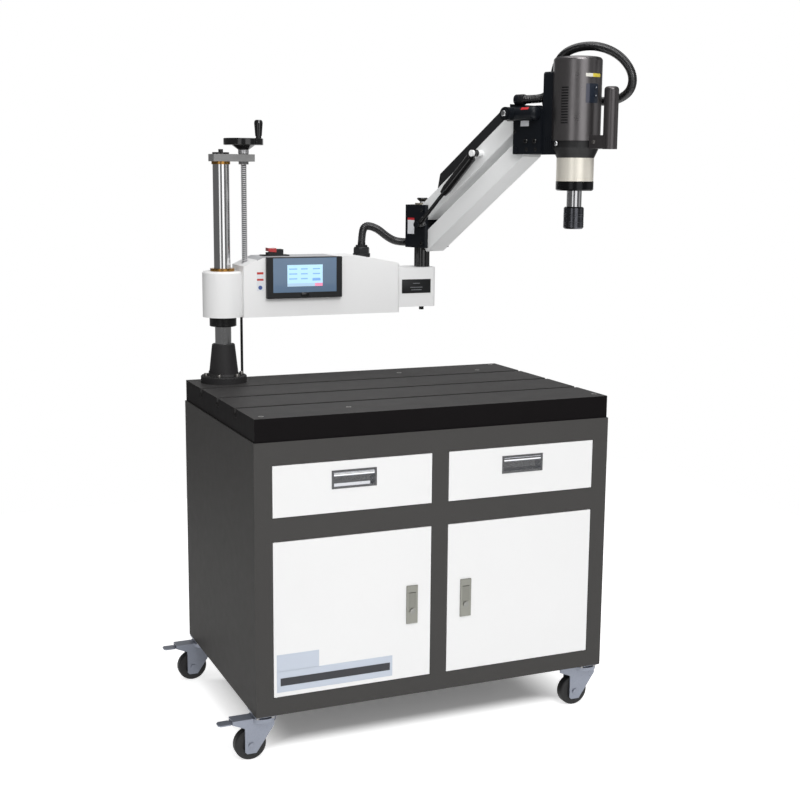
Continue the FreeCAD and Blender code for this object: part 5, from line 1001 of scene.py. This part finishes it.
class FinishesOperator(bpy.types.Operator):
    """Materials of the frame's own parts"""

    bl_idname = "tapping.finishes"
    bl_label = "Finishes"

    def execute(self, context):
        """Makes every material and paints the parts that the frame brings."""
        make_materials(context.scene.tapping_paint)
        for name, part in NODES.items():
            finish = NODE_FINISH.get(name)
            if name.startswith("caster_fork") or name.startswith("brake_lever"):
                finish = "Zinc Plate"
            if name.startswith("caster_wheel"):
                finish = "Tyre Black"
            part.data.materials.clear()
            part.data.materials.append(MATERIALS[finish or "Lead Black"])
        return {"FINISHED"}


class HosesOperator(bpy.types.Operator):
    """Corrugated hoses"""

    bl_idname = "tapping.hoses"
    bl_label = "Hoses"

    def execute(self, context):
        """Lays the ribbed hose from box to elbow and the one round the head."""
        sizes = context.scene.tapping_cords
        radius = sizes.hose_radius
        hose, line, total = ribbed_hose("hose_box_ribbed", HOSE_BOX_ROUTE, None, radius, sizes.rib_depth,
                                        sizes.rib_pitch, HOSE_CUFF)
        dress(hose, "hose_box_ribbed", MATERIALS["Hose Black"], angle=60)
        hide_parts("hose_box")
        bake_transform(hose)
        hose, line, total = ribbed_hose("hose_head_ribbed", HOSE_HEAD_ROUTE, ARM, radius, sizes.rib_depth,
                                        sizes.rib_pitch, HOSE_CUFF)
        dress(hose, "hose_head_ribbed", MATERIALS["Hose Black"], "head", angle=60)
        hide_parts("hose_head")
        return {"FINISHED"}


class LeadOperator(bpy.types.Operator):
    """Mains lead with its boot, coil and tie"""

    bl_idname = "tapping.lead"
    bl_label = "Mains Lead"

    def execute(self, context):
        """Lays the lead from its boot at the box to the tied coil on the floor."""
        radius = context.scene.tapping_cords.lead_radius
        upper = spline_points(LEAD_UPPER_ROUTE)
        piece = tube("mains_lead_upper", upper, [radius] * len(upper), 14)
        dress(piece, "mains_lead_upper", MATERIALS["Lead Black"], angle=60)
        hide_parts("lead_upper")
        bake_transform(piece)
        boot_line = [point for point in resampled(upper, 0.002) if point.y < 0.327]
        radii = [0.0064 - 0.0021 * i / (len(boot_line) - 1) - (0.0005 if i % 3 == 2 else 0.0)
                 for i in range(len(boot_line))]
        boot = tube("lead_boot", boot_line, radii, 20)
        dress(boot, "lead_boot", MATERIALS["Moulded Black"], "carriage", angle=60)

        tail = [(-0.066, 0.3885, 0.0215), (-0.0535, 0.374, 0.0255), (-0.0475, 0.354, 0.0305),
                (-0.0475, 0.336, 0.0350), (-0.0545, 0.3285, 0.0360), PLUG_ENTRY]
        route = LEAD_LOWER_ROUTE + coil_route() + [(COIL.x + 0.004, COIL.y + COIL_INNER_ROW, 0.0195)] + tail
        lower = spline_points(route, resolution=6)
        piece = tube("mains_lead_lower", lower, [radius] * len(lower), 12)
        dress(piece, "mains_lead_lower", MATERIALS["Lead Black"], angle=60)
        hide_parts("lead_lower", "lead_coil")
        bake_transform(piece)
        tie = block((-0.1375, 0.3600, 0.0), (-0.1170, 0.3700, 0.0245))
        soften(tie, 0.003, 3)
        dress(tie, "coil_tie", MATERIALS["Moulded Black"], "bench")
        return {"FINISHED"}


class BenchFittingsOperator(bpy.types.Operator):
    """Screws, plates and caster bolts of the bench"""

    bl_idname = "tapping.bench_fittings"
    bl_label = "Bench Fittings"

    def execute(self, context):
        """Adds table screws, the size plate on the left door, flange screws and caster plate bolts."""
        sizes = context.scene.tapping_fittings
        thick = sizes.plate_thickness
        places = [(-0.426, -0.272, TABLE_Z), (0.433, -0.266, TABLE_Z), (0.425, 0.280, TABLE_Z),
                  (0.343, 0.199, TABLE_Z), (-0.200, -0.225, TABLE_Z), (0.120, 0.225, TABLE_Z)]
        first = turned([(0.0065, -0.0040), (0.0065, 0.0003), (0.0050, 0.0004), (0.0032, 0.0004),
                        (0.0030, -0.0015)], sides=24)
        first.location = places[0]
        settle(first)
        screws = joined(copies(first, places))
        dress(screws, "table_screws", MATERIALS["Screw Steel"], "bench")

        face = FRONT_Y
        plate = block((-0.4035, face - thick, 0.164), (-0.119, face, 0.214))
        upper = block((-0.4035, face - thick, 0.2135), (-0.302, face, 0.2535))
        plate = joined([plate, upper])
        dress(plate, "size_plate", MATERIALS["Size Plate"], "door_left")
        strip = block((-0.3950, face - 1.8 * thick, 0.1790), (-0.1255, face - thick, 0.1972))
        dress(strip, "size_plate_strip", MATERIALS["Size Plate Navy"], "door_left")

        top = TABLE_Z + 0.0176
        bolts = []
        for i in range(sizes.flange_screws):
            turn = 2 * math.pi * i / sizes.flange_screws
            at = (COLUMN.x + FLANGE_SCREW_RING * math.cos(turn),
                  COLUMN.y + FLANGE_SCREW_RING * math.sin(turn), top - 0.0005)
            bolts.append(socket_screw(0.0055, 0.0075, at, (0, 0, 1)))
        dress(joined(bolts), "flange_screws", MATERIALS["Screw Steel"], "bench")

        nuts = []
        for x in CASTER_PLATE_X:
            for y in CASTER_Y:
                for dx, dy in ((-0.018, -0.025), (0.018, -0.025), (-0.018, 0.025), (0.018, 0.025)):
                    nuts.append(bar(0.0045, (x + dx, y + dy, 0.1015), (x + dx, y + dy, 0.1062), 6))
        dress(joined(nuts), "caster_bolts", MATERIALS["Screw Steel"], "bench")
        return {"FINISHED"}


class LiftingScrewOperator(bpy.types.Operator):
    """Threaded lifting screw"""

    bl_idname = "tapping.lifting_screw"
    bl_label = "Lifting Screw"

    def execute(self, context):
        """Models the screw with its thread and collar in place of the plain bar."""
        sizes = context.scene.tapping_fittings
        x, y = SCREW_AXIS
        radius, low, top = SCREW_RADIUS, THREAD_LOW, THREAD_TOP
        pitch, root = sizes.screw_pitch, radius - sizes.thread_depth
        thread = profile_line([(x + root, y, low), (x + root, y, low + 0.30 * pitch),
                               (x + radius, y, low + 0.45 * pitch), (x + radius, y, low + 0.85 * pitch),
                               (x + root, y, low + pitch)])
        wind(thread, (x, y, low), pitch, int((top - low) / pitch))
        core = bar(radius - sizes.thread_depth * 0.9, (x, y, low), (x, y, top), 24)
        shank = bar(radius, (x, y, top - 0.004), (x, y, SHANK_TOP), 32)
        collar = turned([(0.0115, 1.3776), (0.0135, 1.3792), (0.0135, 1.3883)], (x, y), 40)
        piece = joined([thread, core, shank, collar])
        dress(piece, "lifting_screw", MATERIALS["Thread Crest"], "screw")
        piece.data.materials.append(MATERIALS["Thread Root Shade"])
        # Faces in the thread's roots take the dark material: painted shade in the grooves.
        for face in piece.data.polygons:
            centre = face.center
            if centre.z < top - 0.001 and math.hypot(centre.x - x, centre.y - y) < root + 0.0002:
                face.material_index = 1
        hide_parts("lead_screw")
        return {"FINISHED"}


class CarriageFittingsOperator(bpy.types.Operator):
    """Display, labels and plates of the carriage"""

    bl_idname = "tapping.carriage_fittings"
    bl_label = "Carriage Fittings"

    def execute(self, context):
        """Adds the lit page, the screen's latch, the narrow label with its disc and the bare name plate."""
        thick = context.scene.tapping_fittings.plate_thickness
        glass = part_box("screen_glass")
        front = glass[0].y
        page = block((-0.2135, front - 0.0004, 1.0460), (-0.118, front + 0.0002, 1.1010))
        dress(page, "display_page", MATERIALS["Display Page"], "carriage")
        latch = block((-0.1765, front - 0.0035, 1.0205), (-0.1555, front, 1.0305))
        soften(latch, 0.0014, 3)
        dress(latch, "screen_latch", MATERIALS["Gloss Black"], "carriage")
        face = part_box("control_box_cover")[0].y
        label = block((-0.291, face - thick, 1.036), (-0.273, face, 1.084))
        dress(label, "narrow_label", MATERIALS["Label White"], "carriage")
        disc = aim(turned([(0.0053, 0.0), (0.0053, 0.0003)]), (-0.2820, face - thick, 1.0443), (0, -1, 0))
        dress(disc, "label_disc", MATERIALS["Label Blue"], "carriage")
        end_face = COLUMN.y - BOX_END_DEPTH
        plate = block((0.1145, end_face - 2 * thick, 1.018), (0.1985, end_face, 1.055))
        focus(plate)
        soften(plate, 0.0035, 4, 80)
        dress(plate, "name_plate", MATERIALS["Name Plate"], "carriage")
        lines = []
        for z, width in ((1.0435, 0.020), (1.0330, 0.036), (1.0262, 0.030)):
            lines.append(block((0.1565 - width / 2, end_face - 2.6 * thick, z),
                               (0.1565 + width / 2, end_face - 1.9 * thick, z + 0.0012)))
        dress(joined(lines), "name_plate_rules", MATERIALS["Plate Lines"], "carriage")
        return {"FINISHED"}


class ArmFittingsOperator(bpy.types.Operator):
    """Screws and labels of the arm"""

    bl_idname = "tapping.arm_fittings"
    bl_label = "Arm Fittings"

    def execute(self, context):
        """Adds the elbow's label, pin screws and the link cover's screws."""
        thick = context.scene.tapping_fittings.plate_thickness
        for name, low, high, finish in (("elbow_label", 1.1748, 1.2115, "Label White"),
                                        ("elbow_label_head", 1.2115, 1.2175, "Label Red")):
            label = block((-0.0081, CHEEK_Y - thick, low), (0.0158, CHEEK_Y, high))
            dress(label, name, MATERIALS[finish], "elbow", ARM)
        screws = []
        for z in (LOWER_PIVOT_Z, UPPER_PIVOT_Z):
            for side in (-1, 1):
                screws.append(socket_screw(0.0048, 0.0022, (0.045, side * 0.0495, z), (0, side, 0)))
        dress(joined(screws), "elbow_pin_screws", MATERIALS["Gloss Black"], "elbow", ARM)
        pin = turned([(0.0046, 0.0), (0.0046, 0.0012), (0.0036, 0.0022)], sides=28)
        aim(pin, (0.0485, CHEEK_Y, 1.2010), (0, -1, 0))
        tab = block((0.0, -0.0010, -0.0016), (0.0150, 0.0, 0.0016))
        soften(tab, 0.0005)
        for turn, place in ((20.0, (0.0365, CHEEK_Y, 1.1985)), (-58.0, (0.0500, CHEEK_Y, 1.2120))):
            twin = tab.copy()
            twin.data = tab.data.copy()
            context.collection.objects.link(twin)
            twin.matrix_world = Matrix.Translation(place) @ Matrix.Rotation(math.radians(-turn), 4, "Y")
            settle(twin)
            pin = joined([pin, twin])
        bpy.data.objects.remove(tab)
        dress(pin, "spring_clip", MATERIALS["Ground Steel"], "elbow", ARM)
        screws = []
        for x in (0.115, 0.215, 0.315):
            screws.append(socket_screw(0.0035, 0.0022, (x, 0.0, 0.0445), (0, 0, 1)))
        dress(joined(screws), "link_cover_screws", MATERIALS["Screw Steel"], "upper_arm", UPPER_LINK)
        return {"FINISHED"}


class HeadFittingsOperator(bpy.types.Operator):
    """Screws, labels, keypad and adapters of the head"""

    bl_idname = "tapping.head_fittings"
    bl_label = "Head Fittings"

    def execute(self, context):
        """Adds screws, labels, keypad, bands, a black sheet of painted shade in the vent slots, hose adapter
        and the chuck's rings.
        """
        thick = context.scene.tapping_fittings.plate_thickness
        screws = []
        for radius, height, x, z in ((0.0062, 0.0045, 0.3918, 1.4135), (0.0062, 0.0045, 0.4194, 1.4131),
                                     (0.0048, 0.0014, 0.3940, 1.3932), (0.0048, 0.0014, 0.4217, 1.3930),
                                     (0.0045, 0.0020, 0.3571, 1.4369)):
            screws.append(socket_screw(radius, height, (x, CHEEK_Y, z), (0, -1, 0)))
        dress(joined(screws), "cheek_screws", MATERIALS["Gloss Black"], "head", ARM)
        label = block((0.3738, CHEEK_Y - thick, 1.4487), (0.3994, CHEEK_Y, 1.4618))
        dress(label, "cheek_label", MATERIALS["Label White"], "head", ARM)
        dome = turned([(0.0062, 0.0), (0.0062, 0.0008), (0.0055, 0.0024), (0.0038, 0.0036), (0.0015, 0.0041)],
                      sides=32)
        out = outward(COLLAR_BOLT_SIDE)
        aim(dome, Vector((MOTOR_X, 0, 1.4061)) + out * 0.0580, out)
        dress(dome, "saddle_bolt", MATERIALS["Ground Steel"], "head", ARM)
        rib = block((0.4442, -0.0424, 1.3860), (0.4470, -0.0408, 1.4245))
        soften(rib, 0.0006)
        ribs = joined(copies(rib, [(x, 0, 0) for x in (0.4442, 0.4505, 0.4568, 0.4631)]))
        dress(ribs, "saddle_ribs", MATERIALS["Blue Black"], "head", ARM)
        cap = turned([(0.0074, 0.0), (0.0074, 0.0018), (0.0058, 0.0034), (0.0024, 0.0042)], sides=32)
        aim(cap, (0.3592, -0.0948, 1.4780), (0, -1, 0))
        dress(cap, "barrel_cap", MATERIALS["Ground Steel"], "head", ARM)
        red = turned([(0.0172, 0.0), (0.0172, 0.0230)], sides=96)
        keep_sector(red, math.radians(-147), math.radians(-121), 0.0166)
        lying = Matrix.Translation((0.3930, -0.0580, 1.4780)) @ Matrix.Rotation(math.radians(90), 4, "Y")
        dress(red, "sleeve_label", MATERIALS["Label Red"], "head", ARM @ lying)

        upright = ARM @ Matrix.Translation((MOTOR_X, 0, 0))
        for name, low, high, start, end, finish, slot in (
                ("keypad", 1.5000, 1.5447, -23.5, 2, "Key Navy", "matt_black"),
                ("keypad_edge", 1.5000, 1.5440, -32.5, -23.5, "Keypad Edge", "matt_black"),
                ("maker_band", 1.5600, 1.5680, -15.5, 11, "Label Yellow", "box_white"),
                ("maker_band_pale", 1.5600, 1.5680, -34, -15.5, "Label Pale", "box_white")):
            band = turned([(MOTOR_RADIUS + 0.0005, low), (MOTOR_RADIUS + 0.0005, high)], sides=128)
            keep_sector(band, math.radians(start), math.radians(end), MOTOR_RADIUS - 0.001)
            dress(band, name, MATERIALS[finish], "head", upright)
        # A black curved sheet sits in the vent slots to darken them: painted shade.
        screen = turned([(MOTOR_RADIUS - 0.0028, 1.4510), (MOTOR_RADIUS - 0.0028, 1.5385)], sides=128)
        keep_sector(screen, math.radians(-94), math.radians(-72), MOTOR_RADIUS - 0.0044)
        dress(screen, "vent_shade_sheet", MATERIALS["Moulded Black"], "head", upright)
        out = outward(BUTTON_SIDE)
        for button, z in (("button_forward", 1.536), ("button_reverse", 1.517)):
            mark = turned([(0.0017, 0.0), (0.0017, 0.0004)], sides=3)
            aim(mark, Vector((MOTOR_X, 0, z)) + out * (MOTOR_RADIUS + 0.0020), out)
            dress(mark, button + "_mark", MATERIALS["Key White"], button, ARM)
        rings = [(0.0130, 0.0), (0.0130, 0.0020), (0.0117, 0.0023), (0.0117, 0.0043), (0.0130, 0.0046),
                 (0.0130, 0.0066), (0.0117, 0.0069), (0.0117, 0.0089), (0.0128, 0.0092), (0.0124, 0.0112)]
        adapter = aim(turned(rings, sides=40), HOSE_HEAD_ROUTE[-1], (1, 0, 0))
        dress(adapter, "hose_adapter", MATERIALS["Moulded Black"], "head", ARM)
        clamp = socket_screw(0.0045, 0.0040, (0.5760, -0.0210, 1.4095), (0, -1, 0))
        dress(clamp, "grip_clamp_screw", MATERIALS["Screw Steel"], "head", ARM)
        knurl = []
        for low in (1.2085, 1.2135, 1.2185, 1.2330, 1.2380):
            knurl.append(turned([(0.0242, low), (0.0249, low + 0.0008), (0.0249, low + 0.0022),
                                 (0.0242, low + 0.0030)], (MOTOR_X, 0.0), 56))
        dress(joined(knurl), "chuck_rings", MATERIALS["Chuck Steel"], "chuck", ARM)
        return {"FINISHED"}


class TappingMachinePanel(bpy.types.Panel):
    """Buttons for each group of pieces"""

    bl_label = "Tapping Machine"
    bl_idname = "VIEW3D_PT_tapping_machine"
    bl_space_type = "VIEW_3D"
    bl_region_type = "UI"
    bl_category = "Tapping Machine"

    def draw(self, context):
        """Lists the operators and the settings."""
        for operator in OPERATORS:
            self.layout.operator(operator.bl_idname)
        for name in SETTINGS:
            group = getattr(context.scene, name)
            box = self.layout.box()
            for label in group.__annotations__:
                box.prop(group, label)


SETTINGS = {
    "tapping_stage": TappingMachineStage,
    "tapping_paint": TappingMachinePaint,
    "tapping_cords": TappingMachineCords,
    "tapping_fittings": TappingMachineFittings,
}
OPERATORS = [StageOperator, FinishesOperator, HosesOperator, LeadOperator, BenchFittingsOperator,
             LiftingScrewOperator, CarriageFittingsOperator, ArmFittingsOperator, HeadFittingsOperator]


def register():
    """Registers the classes and hangs the settings on the scene."""
    for settings in SETTINGS.values():
        bpy.utils.register_class(settings)
    for name, settings in SETTINGS.items():
        setattr(bpy.types.Scene, name, PointerProperty(type=settings))
    for operator in OPERATORS:
        bpy.utils.register_class(operator)
    bpy.utils.register_class(TappingMachinePanel)


def unregister():
    """Takes the classes and the settings off again."""
    bpy.utils.unregister_class(TappingMachinePanel)
    for operator in reversed(OPERATORS):
        bpy.utils.unregister_class(operator)
    for name in SETTINGS:
        delattr(bpy.types.Scene, name)
    for settings in reversed(list(SETTINGS.values())):
        bpy.utils.unregister_class(settings)


def main():
    """Builds everything in order."""
    register()
    bpy.context.scene.view_settings.view_transform = "Standard"
    bpy.ops.tapping.stage()
    bpy.ops.tapping.finishes()
    bpy.ops.tapping.hoses()
    bpy.ops.tapping.lead()
    bpy.ops.tapping.bench_fittings()
    bpy.ops.tapping.lifting_screw()
    bpy.ops.tapping.carriage_fittings()
    bpy.ops.tapping.arm_fittings()
    bpy.ops.tapping.head_fittings()


if __name__ == "__main__":
    main()
